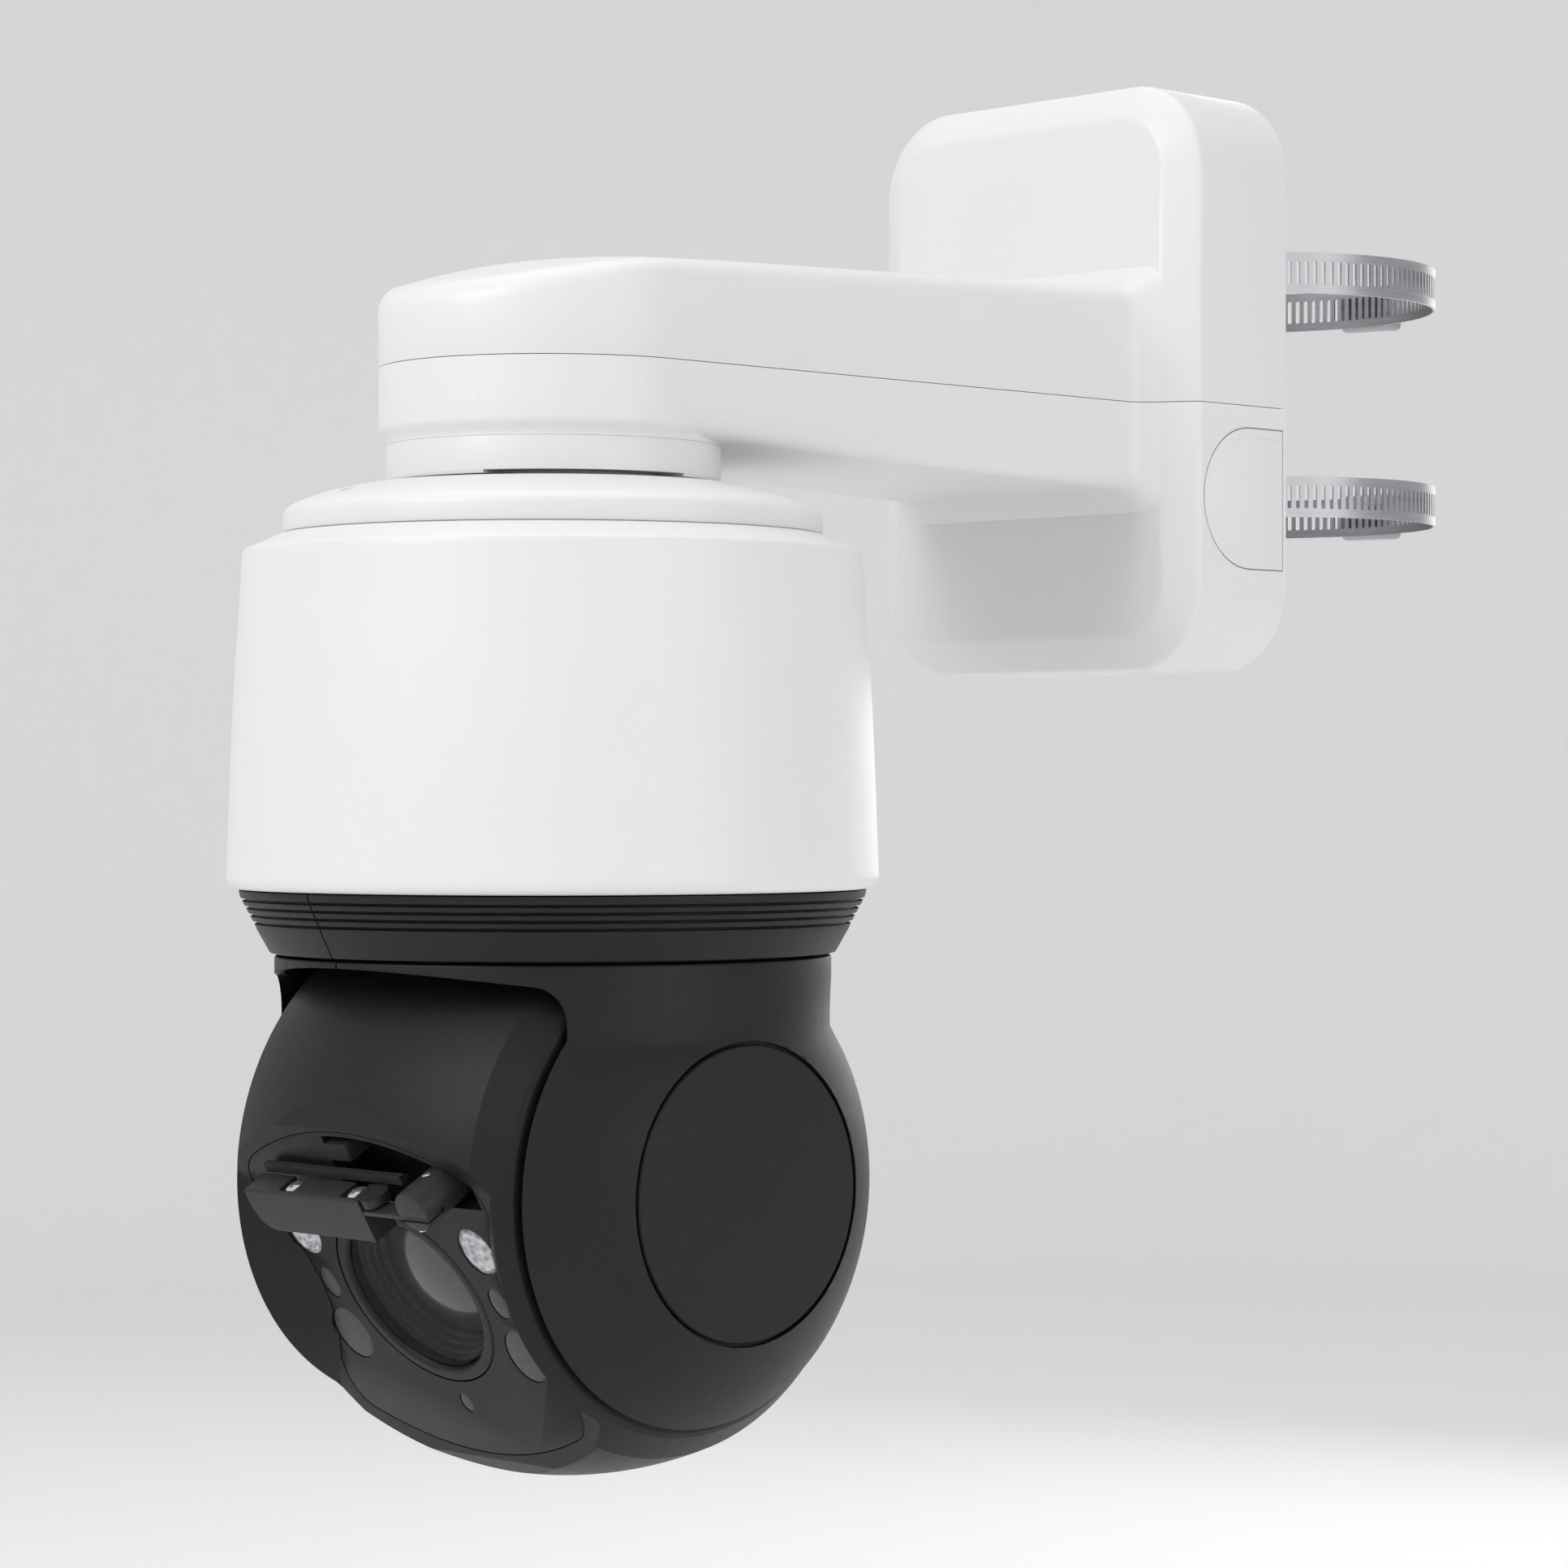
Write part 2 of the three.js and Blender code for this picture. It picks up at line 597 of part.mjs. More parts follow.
function barrelProfile(inset) {
  const bulge = 150.8;
  const endX = MODULE_END_X - inset;
  const spread = Math.asin(MODULE_CREST_X / bulge);
  const crown = arc(bulge - inset, -spread, spread, 8).map(([r, x]) => [r + MODULE_R - bulge, x]);
  const endR = MODULE_END_R - inset;
  return [[0, -endX], [endR, -endX], ...crown, [endR, endX], [0, endX]];
}

// In the plane of the face, half the width between the scooped sides at height s.
const scoop = (s) => 44 + Math.min((s - 2) ** 2 / 100, 16);
const heights = Array.from({ length: 17 }, (_, i) => -80 + 10 * i);

// Everything in front of the face, with side walls that lean outwards.
function frontCutter() {
  const right = heights.map((s) => [scoop(s), s]);
  const left = heights.map((s) => [-scoop(s), s]).reverse();
  const settings = {
    depth: 1,
    bevelEnabled: true,
    bevelThickness: 36,
    bevelSize: 48,
    bevelSegments: 1,
  };
  const geometry = new THREE.ExtrudeGeometry(outline([...right, ...left]), settings);
  return solid(geometry.translate(0, 0, 36 + FACE_H));
}

// The face plate's outline: bowed top and bottom, scooped sides, soft corners.
function faceOutline(inset) {
  const side = 55.4 - inset;
  const top = (x) => 59.2 - inset - (x * x) / 198;
  const bottom = (x) => -57.8 + inset + (x * x) / 202;
  const shape = new THREE.Shape();
  const across = (from, to, f) => {
    for (let i = 0; i <= 8; i++) {
      const x = from + ((to - from) * i) / 8;
      shape.lineTo(x, f(x));
    }
  };
  shape.moveTo(-49, top(-49));
  across(-49, 49, top);
  shape.quadraticCurveTo(side, top(side), side, 36);
  for (let s = 32; s >= -30; s -= 6.2) shape.lineTo(Math.min(scoop(s) - inset - 0.4, side), s);
  shape.quadraticCurveTo(side, bottom(side) - 1, 49, bottom(49));
  across(49, -49, bottom);
  shape.quadraticCurveTo(-side, bottom(side) - 1, -Math.min(scoop(-30) - inset - 0.4, side), -30);
  for (let s = -23.8; s <= 33; s += 6.2) shape.lineTo(-Math.min(scoop(s) - inset - 0.4, side), s);
  shape.quadraticCurveTo(-side, top(side), -49, top(-49));
  return shape;
}

// The pocket above the window where the wiper lies when parked.
function pocketShape(grow) {
  const top = (x) => 57.4 + grow - (x * x) / 198;
  const points = [];
  for (let i = 0; i <= 8; i++) {
    const x = -8 - grow + ((60 + 2 * grow) * i) / 8;
    points.push([x, top(x)]);
  }
  return outline([[-8 - grow, 36 - grow], [52 + grow, 36 - grow], ...points.reverse()]);
}

const WINDOW_R = 31.3;
const GLASS_THICK = 3;
const POCKET_FLOOR = FACE_H - 12;
const lights = [
  ['top', 40.5, 20, 7, 8],
  ['middle', 39.3, 1.5, 3.6, 5.5],
  ['large', 40.2, -17.5, 7.6, 9.3],
];
const SENSOR = [0.8, -39, 2.5, 3.4];
const HUB = [38.5, 42.8];

function lightShapes(grow) {
  const shapes = [];
  for (const side of [1, -1]) {
    for (const [, x, s, rx, ry] of lights) shapes.push(ellipse(side * x, s, rx + grow, ry + grow));
  }
  shapes.push(ellipse(SENSOR[0], SENSOR[1], SENSOR[2] + grow, SENSOR[3] + grow));
  return shapes;
}

const front = FACE_H;
const barrel = alongX(turned(barrelProfile(0), 40));
const pocketCut = plate(pocketShape(0), POCKET_FLOOR, front + 40);
const pocketFloor = plate(pocketShape(2.5), POCKET_FLOOR - 2.5, front);
const faceWall = cut(
  lensward(plate(roundedRectangle(90, 90, 10), -100, front - GLASS_THICK - 4.3)),
  lensward(pocketFloor),
);
const moduleHollow = alongX(turned(barrelProfile(MODULE_WALL), 24)).intersect(faceWall);
const moduleShell = cut(
  barrel,
  lensward(frontCutter()),
  moduleHollow,
  lensward(plate(faceOutline(-GAP), front - GLASS_THICK - 0.3, front + 5)),
  lensward(pocketCut),
  lensward(tube(WINDOW_R - 2.2, 0, 40, front + 5, FINE)),
  lensward(tube(4, 0, 30, front, 16).translate([HUB[0], HUB[1], 0])),
  ...lightShapes(GAP).map((shape) => lensward(plate(shape, 50, front + 5, { curveSegments: 6 }))),
);
const frontHalf = lensward(block([-100, 100], [-100, 100], [MODULE_SEAM_H + SEAM / 2, 120]));
const rearHalf = lensward(block([-100, 100], [-100, 100], [-120, MODULE_SEAM_H - SEAM / 2]));
tilt.add(meshOf('module_front_shell', charcoal, moduleShell.intersect(frontHalf)));
tilt.add(meshOf('module_rear_shell', charcoal, moduleShell.intersect(rearHalf)));

const facePlate = cut(
  plate(faceOutline(0), front - GLASS_THICK, front),
  plate(pocketShape(GAP), front - 10, front + 10),
  tube(WINDOW_R + GAP, 0, front - 10, front + 10, FINE),
  ...lightShapes(GAP).map((shape) => plate(shape, front - 10, front + 5, { curveSegments: 6 })),
);
tilt.add(meshOf('face_plate', glass, lensward(facePlate)));

// Lights and the light sensor: clear lenses flush in the plate.
for (const [side, label] of [[1, 'right'], [-1, 'left']]) {
  for (const [name, x, s, rx, ry] of lights) {
    const lens = plate(ellipse(side * x, s, rx, ry), front - 6, front - 0.2, { curveSegments: 6 });
    tilt.add(meshOf(`light_${name}_${label}`, lensGlass, lensward(lens)));
  }
}
// One ring-shaped board behind them goes round the lens.
const lightRing = cut(
  block([-50, 50], [-44, 30], [POCKET_FLOOR - 0.2, 54.2]),
  tube(28, 0, 40, 60, 48),
).intersect(plate(new THREE.Shape().absarc(0, 0, 54, 0, 2 * Math.PI), 40, 60));
tilt.add(meshOf('light_board', board, lensward(lightRing)));
const sensorLens = plate(ellipse(...SENSOR), front - 6, front - 0.2, { curveSegments: 6 });
tilt.add(meshOf('light_sensor', lensGlass, lensward(sensorLens)));

// Window: a bezel ring with a flat glass.
const ring = turned([
  [26.9, front - 0.9], [28.4, front + 0.1], [30.6, front + 0.1], [WINDOW_R, front - 0.3],
  [WINDOW_R, front - GLASS_THICK], [26.9, front - GLASS_THICK],
]);
tilt.add(meshOf('window_bezel', blackPlastic, lensward(ring)));
tilt.add(meshOf('window_glass', lensGlass, lensward(tube(26.6, 0, front - 2.8, front - 1, FINE))));

// Lens: barrel, a front element, a zoom group that slides, and the image sensor.
const lensBarrel = turned([
  [22.2, 56], [25.5, 56], [25.5, 28], [20.5, 26], [20.5, -22], [17.6, -22], [17.6, 40], [22.2, 44],
]);
tilt.add(meshOf('lens_barrel', blackPlastic, lensward(lensBarrel)));
const elementDome = arc(38, Math.PI / 2, Math.PI / 2 - Math.asin(21.9 / 38), 3, [0, 15]);
elementDome[0][0] = 0;
const element = turned([[0, 46], [21.9, 46], ...elementDome.reverse()], 24);
tilt.add(meshOf('lens_front_element', lensGlass, lensward(element)));
tilt.add(meshOf('zoom_group', lensGlass, lensward(tube(17.2, 0, 2, 14))));
const sensorBoard = block([-24, 24], [-22, 22], [-26, -24.4]);
tilt.add(meshOf('image_sensor_board', board, lensward(sensorBoard)));

// Hubs carry the module in the cheeks' bearings; the right one has the tilt wheel.
const hubProfile = [
  [0, 64.3], [20, 64.3], [20, 65.8], [8, 65.8], [8, 78], [6, 78], [6, 83], [0, 83],
];
tilt.add(meshOf('tilt_hub_right', steel, alongX(turned(hubProfile, COARSE))));
const shortHub = [[0, 64.3], [20, 64.3], [20, 65.8], [8, 65.8], [8, 74], [0, 74]];
tilt.add(meshOf('tilt_hub_left', steel, alongX(turned(shortHub, COARSE), -1)));

// The wheel has a tooth towards the pinion straight above the axis when the module is at rest.
const wheel = alongX(gear(TILT_TEETH, TILT_MODULE, 6.3, 79.2, 82.4));
const toPinion = 90 - THREE.MathUtils.radToDeg(TILT_REST);
tilt.add(meshOf('tilt_wheel', nylon, wheel.rotate([toPinion - 90, 0, 0])));

// ---------------------------------------------------------------- wiper
const wiperMotor = tube(8, 0, 26, POCKET_FLOOR - 2.9).translate([HUB[0], HUB[1], 0]);
tilt.add(meshOf('wiper_motor', blackPlastic, lensward(wiperMotor)));
const parkStop = block([-7.4, 3], [49.5, 55.4], [POCKET_FLOOR + GAP, front + 1.5]);
tilt.add(meshOf('wiper_park_stop', rubber, lensward(parkStop)));

const hubTop = front + 13.3;
const wiperHub = union(
  tube(6, 0, POCKET_FLOOR + 0.5, hubTop),
  tube(3.7, 0, 50, POCKET_FLOOR + 1, 16),
).translate([HUB[0], HUB[1], 0]);
const armWay = [39.6, 41.1]; // the strip stands on edge in a slot across the hub's end
const armSlot = block([30, 50], [armWay[0] - GAP, armWay[1] + GAP], [hubTop - 6.8, hubTop + 1]);
tilt.add(meshOf('wiper_hub', charcoal, lensward(cut(wiperHub, armSlot))));

// The strip runs from the holder's end plate into the hub.
const wiperArm = block([14.8, 44], armWay, [hubTop - 6.5, hubTop - 0.4]);
tilt.add(meshOf('wiper_arm', steel, lensward(wiperArm)));

// The holder is a bent cover: one wall faces up, one faces forward.
const HOLDER = { left: -38.5, right: 14.5, low: 30.3, high: 44.6, back: 3.8, front: 13, wall: 1.6 };
const NOSE = { x: 16.8, h: 8, radius: 4.6, low: 41.7 }; // the round end of the cover's upper wall
const holderSection = outline([
  [HOLDER.low, HOLDER.front], [HOLDER.high - 1, HOLDER.front],
  [HOLDER.high, HOLDER.front - 1], [HOLDER.high, HOLDER.back],
  [HOLDER.high - HOLDER.wall, HOLDER.back], [HOLDER.high - HOLDER.wall, HOLDER.front - HOLDER.wall],
  [HOLDER.low, HOLDER.front - HOLDER.wall],
]);
function alongWiper(shape, x0, x1) {
  const geometry = new THREE.ExtrudeGeometry(shape, { depth: x1 - x0, bevelEnabled: false });
  const turn = new THREE.Matrix4().makeBasis(
    new THREE.Vector3(0, 1, 0),
    new THREE.Vector3(0, 0, 1),
    new THREE.Vector3(1, 0, 0),
  );
  return solid(geometry.applyMatrix4(turn).translate(x0, 0, front));
}
const nose = tube(NOSE.radius, 0, NOSE.low, HOLDER.high, COARSE).rotate([-90, 0, 0]);
const holder = union(
  alongWiper(holderSection, HOLDER.left, HOLDER.right),
  block(
    [HOLDER.right - HOLDER.wall, HOLDER.right],
    [HOLDER.low, HOLDER.high],
    [front + HOLDER.back, front + HOLDER.front],
  ),
  nose.translate([NOSE.x, 0, front + NOSE.h]),
);
tilt.add(meshOf('blade_holder', charcoal, lensward(holder)));
const bladeSection = outline([[46, 0.4], [46.8, 0.4], [48, 1.6], [48, 3.7], [44.9, 3.7], [44.9, 1.6]]);
tilt.add(meshOf('wiper_blade', rubber, lensward(alongWiper(bladeSection, -38, 26))));

const ptzCamera = new THREE.Group();
ptzCamera.add(bracket, camera);
export default ptzCamera;
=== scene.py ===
# %% [markdown]
# # A pan-tilt-zoom camera on its pole bracket
#
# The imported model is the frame: it fixes every size, place and joint. This lesson keeps that frame
# still and gives the object its looks. Visible casings are rebuilt as fine surfaces worked out with
# numpy, ride on the frame's bodies, and stand in for the coarse solids that they cover.

# %% Load the frame
import json
import math

import bmesh
import bpy
import numpy as np
from mathutils import Matrix, Vector


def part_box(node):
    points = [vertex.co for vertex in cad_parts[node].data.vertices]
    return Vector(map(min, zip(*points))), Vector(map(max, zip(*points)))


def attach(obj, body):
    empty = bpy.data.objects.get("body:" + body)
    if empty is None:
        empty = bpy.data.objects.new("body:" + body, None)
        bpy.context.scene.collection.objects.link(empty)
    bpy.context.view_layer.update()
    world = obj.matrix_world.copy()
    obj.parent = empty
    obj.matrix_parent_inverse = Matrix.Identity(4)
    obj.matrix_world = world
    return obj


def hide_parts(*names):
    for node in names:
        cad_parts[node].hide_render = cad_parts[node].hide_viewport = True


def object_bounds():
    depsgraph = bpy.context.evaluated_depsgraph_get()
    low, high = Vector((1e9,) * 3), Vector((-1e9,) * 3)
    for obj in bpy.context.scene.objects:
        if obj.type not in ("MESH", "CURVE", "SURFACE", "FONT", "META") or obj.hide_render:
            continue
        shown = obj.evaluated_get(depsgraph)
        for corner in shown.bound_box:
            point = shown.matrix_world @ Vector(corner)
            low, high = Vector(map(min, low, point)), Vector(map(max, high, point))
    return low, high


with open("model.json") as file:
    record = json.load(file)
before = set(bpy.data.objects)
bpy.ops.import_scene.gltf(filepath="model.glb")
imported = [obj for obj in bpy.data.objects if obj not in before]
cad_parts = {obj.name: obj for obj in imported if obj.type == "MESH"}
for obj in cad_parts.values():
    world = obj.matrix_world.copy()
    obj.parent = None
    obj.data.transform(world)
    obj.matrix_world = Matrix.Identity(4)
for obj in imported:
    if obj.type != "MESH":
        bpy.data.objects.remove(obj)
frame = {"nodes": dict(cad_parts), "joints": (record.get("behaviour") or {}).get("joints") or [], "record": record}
cad_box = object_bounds()
joints = {joint["name"]: joint for joint in frame["joints"]}

# %% [markdown]
# ## Places
#
# Shapes are written in millimetres, in the coordinates that suit each group, and carried to the
# frame at the end. The camera's own height zero is level with the middle of its sunshield; the
# face of the module has its own axes: x across, s up the face, and h out along the lens.

# %% Coordinates taken from the joints
MM = 0.001
TILT_DROP = 120.0  # tilt axis below the camera's height zero
tilt_centre = np.array(joints["tilt_nod"]["pos_m"]) / MM
lens_axis = np.array(joints["zoom_slide"]["axis"], float)
face_up = np.array([0.0, lens_axis[2], -lens_axis[1]])
camera_origin = tilt_centre + [0.0, 0.0, TILT_DROP]


def moved(x, y, z):
    """Returns a function that shifts points by (x, y, z)."""
    def carry(points):
        return np.asarray(points, float) + [x, y, z]
    return carry


def on_face(points):
    """Face coordinates (x, s, h) to the frame's: centre + x across + s up the face + h outwards."""
    p = np.asarray(points, float)
    return tilt_centre + p[:, :1] * [1.0, 0.0, 0.0] + p[:, 1:2] * face_up + p[:, 2:] * lens_axis


in_frame = moved(0.0, 0.0, 0.0)  # the bracket is drawn in the frame's own coordinates
in_camera = moved(*camera_origin)  # about the pan axis, heights from the camera's zero
about_tilt = moved(*tilt_centre)  # about the middle of the tilt axis
at_tip = moved(0.0, camera_origin[1], 0.0)  # about the pan axis, heights from the frame's zero
print("lens looks", round(math.degrees(math.asin(-lens_axis[2])), 1), "degrees down")

# %% [markdown]
# ## Shader maths as Python
#
# A procedural material is a small graph. Wrapping a socket in a class with overloaded operators
# lets a formula such as `0.4 + 0.1 * grain` add its own Math nodes, so the recipe stays readable.

# %% The material builder
class Value:
    """A number that changes over the surface: one output socket, with arithmetic."""

    def __init__(self, graph, socket):
        self.graph = graph
        self.socket = socket

    def _math(self, operation, a, b):
        return self.graph.node("ShaderNodeMath", {"operation": operation}, {0: a, 1: b})

    def __add__(self, other):
        return self._math("ADD", self, other)

    __radd__ = __add__

    def __sub__(self, other):
        return self._math("SUBTRACT", self, other)

    def __rsub__(self, other):
        return self._math("SUBTRACT", other, self)

    def __mul__(self, other):
        return self._math("MULTIPLY", self, other)

    __rmul__ = __mul__

    def power(self, exponent):
        return self._math("POWER", self, exponent)


class Graph:
    """A new material and its Principled shader; constants are written with _ for each space."""

    def __init__(self, name, **constants):
        self.material = bpy.data.materials.new(name)
        self.material.use_nodes = True
        self.tree = self.material.node_tree
        self.shader = self.tree.nodes["Principled BSDF"]
        for key, value in constants.items():
            self.shader.inputs[key.replace("_", " ")].default_value = value

    def node(self, kind, settings=None, inputs=None, output=0):
        node = self.tree.nodes.new(kind)
        for key, value in (settings or {}).items():
            setattr(node, key, value)
        for key, value in (inputs or {}).items():
            self.feed(node.inputs[key], value)
        return Value(self, node.outputs[output])

    def feed(self, socket, value):
        if isinstance(value, Value):
            self.tree.links.new(value.socket, socket)
        else:
            socket.default_value = value

    def set(self, name, value):
        self.feed(self.shader.inputs[name], value)

    def place(self, scale=(1.0, 1.0, 1.0)):
        spot = self.node("ShaderNodeTexCoord", output=3)
        return self.node("ShaderNodeMapping", None, {"Vector": spot, "Scale": scale})

    def noise(self, scale, detail=2.0, roughness=0.5, stretch=(1.0, 1.0, 1.0)):
        inputs = {"Vector": self.place(stretch), "Scale": scale, "Detail": detail}
        inputs["Roughness"] = roughness
        return self.node("ShaderNodeTexNoise", None, inputs)

    def cells(self, scale, stretch=(1.0, 1.0, 1.0)):
        inputs = {"Vector": self.place(stretch), "Scale": scale}
        return self.node("ShaderNodeTexVoronoi", None, inputs)

    def blend_colour(self, share, low, high):
        """A Mix node set to colours: inputs 6 and 7 are its two colours and output 2 the blend."""
        inputs = {0: share, 6: (*low, 1.0), 7: (*high, 1.0)}
        return self.node("ShaderNodeMix", {"data_type": "RGBA"}, inputs, output=2)

    def bump(self, height, depth_mm, strength=1.0):
        inputs = {"Height": height, "Distance": depth_mm * MM, "Strength": strength}
        self.set("Normal", self.node("ShaderNodeBump", None, inputs))


# %% [markdown]
# ## Finishes
#
# Outdoor cameras use few finishes: powder-coated white metal with a faint orange peel, charcoal
# plastic from a spark-eroded mould, dark polycarbonate, clear lenses, rubber and steel. Each has
# its own grain at its real scale, and slow changes of tone that keep large faces from looking flat.

# %% White powder coat
def make_white_coat():
    g = Graph("white_powder_coat", Coat_Weight=0.12, Coat_Roughness=0.35)
    cloud = g.noise(9.0, 3.0)
    g.set("Base Color", g.blend_colour(cloud, (0.74, 0.743, 0.745), (0.79, 0.793, 0.795)))
    g.set("Roughness", 0.34 + 0.12 * g.noise(120.0, 3.0))
    g.bump(g.noise(1400.0, 2.0), 0.02, 0.35)
    return g.material


# %% Charcoal moulded plastic
def make_moulded(name, low, high, rough, grain_depth=0.03):
    g = Graph(name, Specular_IOR_Level=0.26)
    cloud = g.noise(14.0, 4.0)
    grain = g.cells(2600.0)
    g.set("Base Color", g.blend_colour(cloud, low, high))
    g.set("Roughness", rough + 0.10 * g.noise(300.0, 2.0))
    g.bump(grain + 0.6 * g.noise(5200.0, 1.0), grain_depth, 0.45)
    return g.material


# %% Dark face plate, clear lenses and window glass
def make_smooth(name, low, high, rough):
    """Polished dark plastic or fine paint: no mould grain, only faint unevenness in the gloss."""
    g = Graph(name, Specular_IOR_Level=0.16)
    g.set("Base Color", g.blend_colour(g.noise(20.0, 3.0), low, high))
    g.set("Roughness", rough + 0.08 * g.noise(90.0, 4.0))
    g.bump(g.noise(200.0, 2.0), 0.002, 0.1)
    return g.material


def make_window():
    """Thin clear glass: almost nothing of its own colour, but a clean reflection."""
    g = Graph("window_glass", IOR=1.5, Base_Color=(0.020, 0.0205, 0.0215, 1.0), Alpha=0.12)
    g.set("Roughness", 0.05 + 0.03 * g.noise(60.0, 3.0))
    return g.material


def make_coated_lens():
    """A front element: dark glass with a soft coating over it."""
    g = Graph("coated_lens", IOR=1.6, Coat_Weight=1.0, Coat_Roughness=0.03)
    tone = g.noise(22.0, 2.0)
    g.set("Base Color", g.blend_colour(tone, (0.020, 0.0205, 0.022), (0.034, 0.0345, 0.036)))
    g.set("Roughness", 0.24 + 0.08 * tone)
    return g.material


def make_light_lens(name, low, high, rough, coat):
    """A moulded clear lens with rows of tiny facets: each cell's colour lies between the two shades,
    and where the high shade is near white the bright cells are painted glints.
    """
    g = Graph(name, Coat_Weight=coat, Coat_Roughness=0.05, Specular_IOR_Level=0.3)
    facets = g.cells(420.0)
    g.set("Base Color", g.blend_colour(facets, low, high))
    g.set("Roughness", rough + 0.15 * facets)
    g.bump(facets, 0.25, 0.5)
    return g.material


# %% Rubber, metals, boards and nylon
def make_rubber():
    g = Graph("black_rubber", Specular_IOR_Level=0.35)
    tone = g.noise(60.0, 4.0)
    g.set("Base Color", g.blend_colour(tone, (0.006, 0.006, 0.007), (0.016, 0.016, 0.017)))
    g.set("Roughness", 0.62 + 0.2 * g.noise(400.0, 3.0))
    g.bump(g.noise(2200.0, 3.0), 0.02, 0.4)
    return g.material


def make_metal(name, low, high, rough, stretch, grain_scale, depth):
    """Metal with grain drawn out along one direction, as rolling or turning leaves it."""
    g = Graph(name)
    grain = g.noise(grain_scale, 3.0, 0.6, stretch)
    g.set("Metallic", 0.97 - 0.06 * g.noise(40.0, 3.0))
    g.set("Base Color", g.blend_colour(grain, low, high))
    g.set("Roughness", rough + 0.18 * grain)
    g.bump(grain, depth, 0.3)
    return g.material


def make_board():
    g = Graph("circuit_board", Coat_Weight=0.4)
    lanes = g.cells(160.0, (1.0, 3.0, 1.0)).power(3.0)
    g.set("Base Color", g.blend_colour(lanes, (0.008, 0.085, 0.030), (0.020, 0.170, 0.070)))
    g.set("Roughness", 0.35 + 0.2 * g.noise(200.0, 2.0))
    g.bump(lanes, 0.03, 0.5)
    return g.material


def make_nylon():
    g = Graph("nylon", Subsurface_Weight=0.1)
    g.set("Base Color", g.blend_colour(g.noise(30.0, 3.0), (0.68, 0.65, 0.55), (0.76, 0.73, 0.64)))
    g.set("Roughness", 0.45 + 0.15 * g.noise(500.0, 2.0))
    g.bump(g.noise(1500.0, 2.0), 0.01, 0.3)
    return g.material


# %% Make every finish once
WHITE = make_white_coat()
# The two colours of each finish are its darkest and lightest shade, in linear light.
CHARCOAL = make_moulded("charcoal_plastic", (0.0085, 0.0087, 0.0092), (0.0120, 0.0122, 0.0128), 0.42)
MODULE_GREY = make_moulded("module_plastic", (0.0068, 0.0070, 0.0075), (0.0098, 0.0100, 0.0106), 0.44)
WIPER_GREY = make_moulded("wiper_plastic", (0.019, 0.0195, 0.0205), (0.026, 0.0265, 0.0275), 0.42)
BLACK = make_moulded("black_plastic", (0.004, 0.004, 0.0045), (0.008, 0.008, 0.0085), 0.40, 0.015)
LENS_GREY = make_smooth("lens_ring_paint", (0.010, 0.0104, 0.011), (0.014, 0.0144, 0.015), 0.38)
PLATE = make_smooth("smoked_plate", (0.0075, 0.0078, 0.0083), (0.0100, 0.0103, 0.0108), 0.34)
WINDOW = make_window()
COATED = make_coated_lens()
# Painted glints: the near-white cells in this lens's colour stand in for light caught by its facets.
GLINT_PAINTED_LENS = make_light_lens("light_lens_painted_glints", (0.12, 0.122, 0.128), (0.78, 0.78, 0.80),
                              rough=0.12, coat=1.0)
PALE_LENS = make_light_lens("pale_light_lens", (0.036, 0.0365, 0.038), (0.046, 0.0465, 0.048),
                            rough=0.36, coat=0.1)
RUBBER = make_rubber()
STEEL = make_metal("rolled_steel", (0.30, 0.305, 0.31), (0.46, 0.465, 0.475),
                   rough=0.26, stretch=(40.0, 40.0, 900.0), grain_scale=1.0, depth=0.01)
CHROME = make_metal("bright_screws", (0.70, 0.71, 0.72), (0.86, 0.87, 0.88),
                    rough=0.10, stretch=(900.0, 900.0, 900.0), grain_scale=1.0, depth=0.005)
CAST = make_metal("cast_aluminium", (0.50, 0.51, 0.52), (0.62, 0.63, 0.64),
                  rough=0.34, stretch=(1.0, 1.0, 1.0), grain_scale=700.0, depth=0.03)
BOARD = make_board()
NYLON = make_nylon()

# %% [markdown]
# ## Surfaces
#
# Nearly every casing here is turned, extruded or swept, so a few helpers are enough. A grid helper
# closes rows of points into faces; a profile is softened at its corners first, because no moulded
# edge is truly sharp and the narrow highlight along an edge is what makes a part look real.

# %% Grids and profiles
def grid_faces(rows, columns, wrap_rows=False, wrap_columns=False):
    """Quads of a rows-by-columns grid: each joins a point to its neighbours right and below."""
    r = np.arange(rows if wrap_rows else rows - 1)
    c = np.arange(columns if wrap_columns else columns - 1)
    rr, cc = np.meshgrid(r, c, indexing="ij")
    r2, c2 = (rr + 1) % rows, (cc + 1) % columns
    quads = np.stack([rr * columns + cc, rr * columns + c2, r2 * columns + c2, r2 * columns + cc], -1)
    return quads.reshape(-1, 4).tolist()


def soften(points, radius, steps=5, closed=True):
    """Rounds each corner: the corner point becomes a curve between two points set back along its
    sides by the radius, or less where a side is short, weighted (1-t)^2, 2t(1-t), t^2."""
    p = np.asarray(points, float)
    radii = np.broadcast_to(radius, len(p))
    before, after = np.roll(p, 1, 0) - p, np.roll(p, -1, 0) - p
    la, lb = np.linalg.norm(before, axis=1), np.linalg.norm(after, axis=1)
    back = np.minimum(radii, 0.45 * np.minimum(la, lb))[:, None]
    a, b = p + before / la[:, None] * back, p + after / lb[:, None] * back
    t = np.linspace(0.0, 1.0, steps)[None, :, None]
    curve = (1 - t) ** 2 * a[:, None] + 2 * t * (1 - t) * p[:, None] + t**2 * b[:, None]
    if not closed:
        return np.vstack([p[:1], curve[1:-1].reshape(-1, 2), p[-1:]])
    return curve.reshape(-1, 2)


def arc_points(radius, start, end, steps, centre=(0.0, 0.0)):
    """Centre + radius times (cos, sin), from one angle in degrees to another."""
    a = np.radians(np.linspace(start, end, steps))
    return np.column_stack([centre[0] + radius * np.cos(a), centre[1] + radius * np.sin(a)])


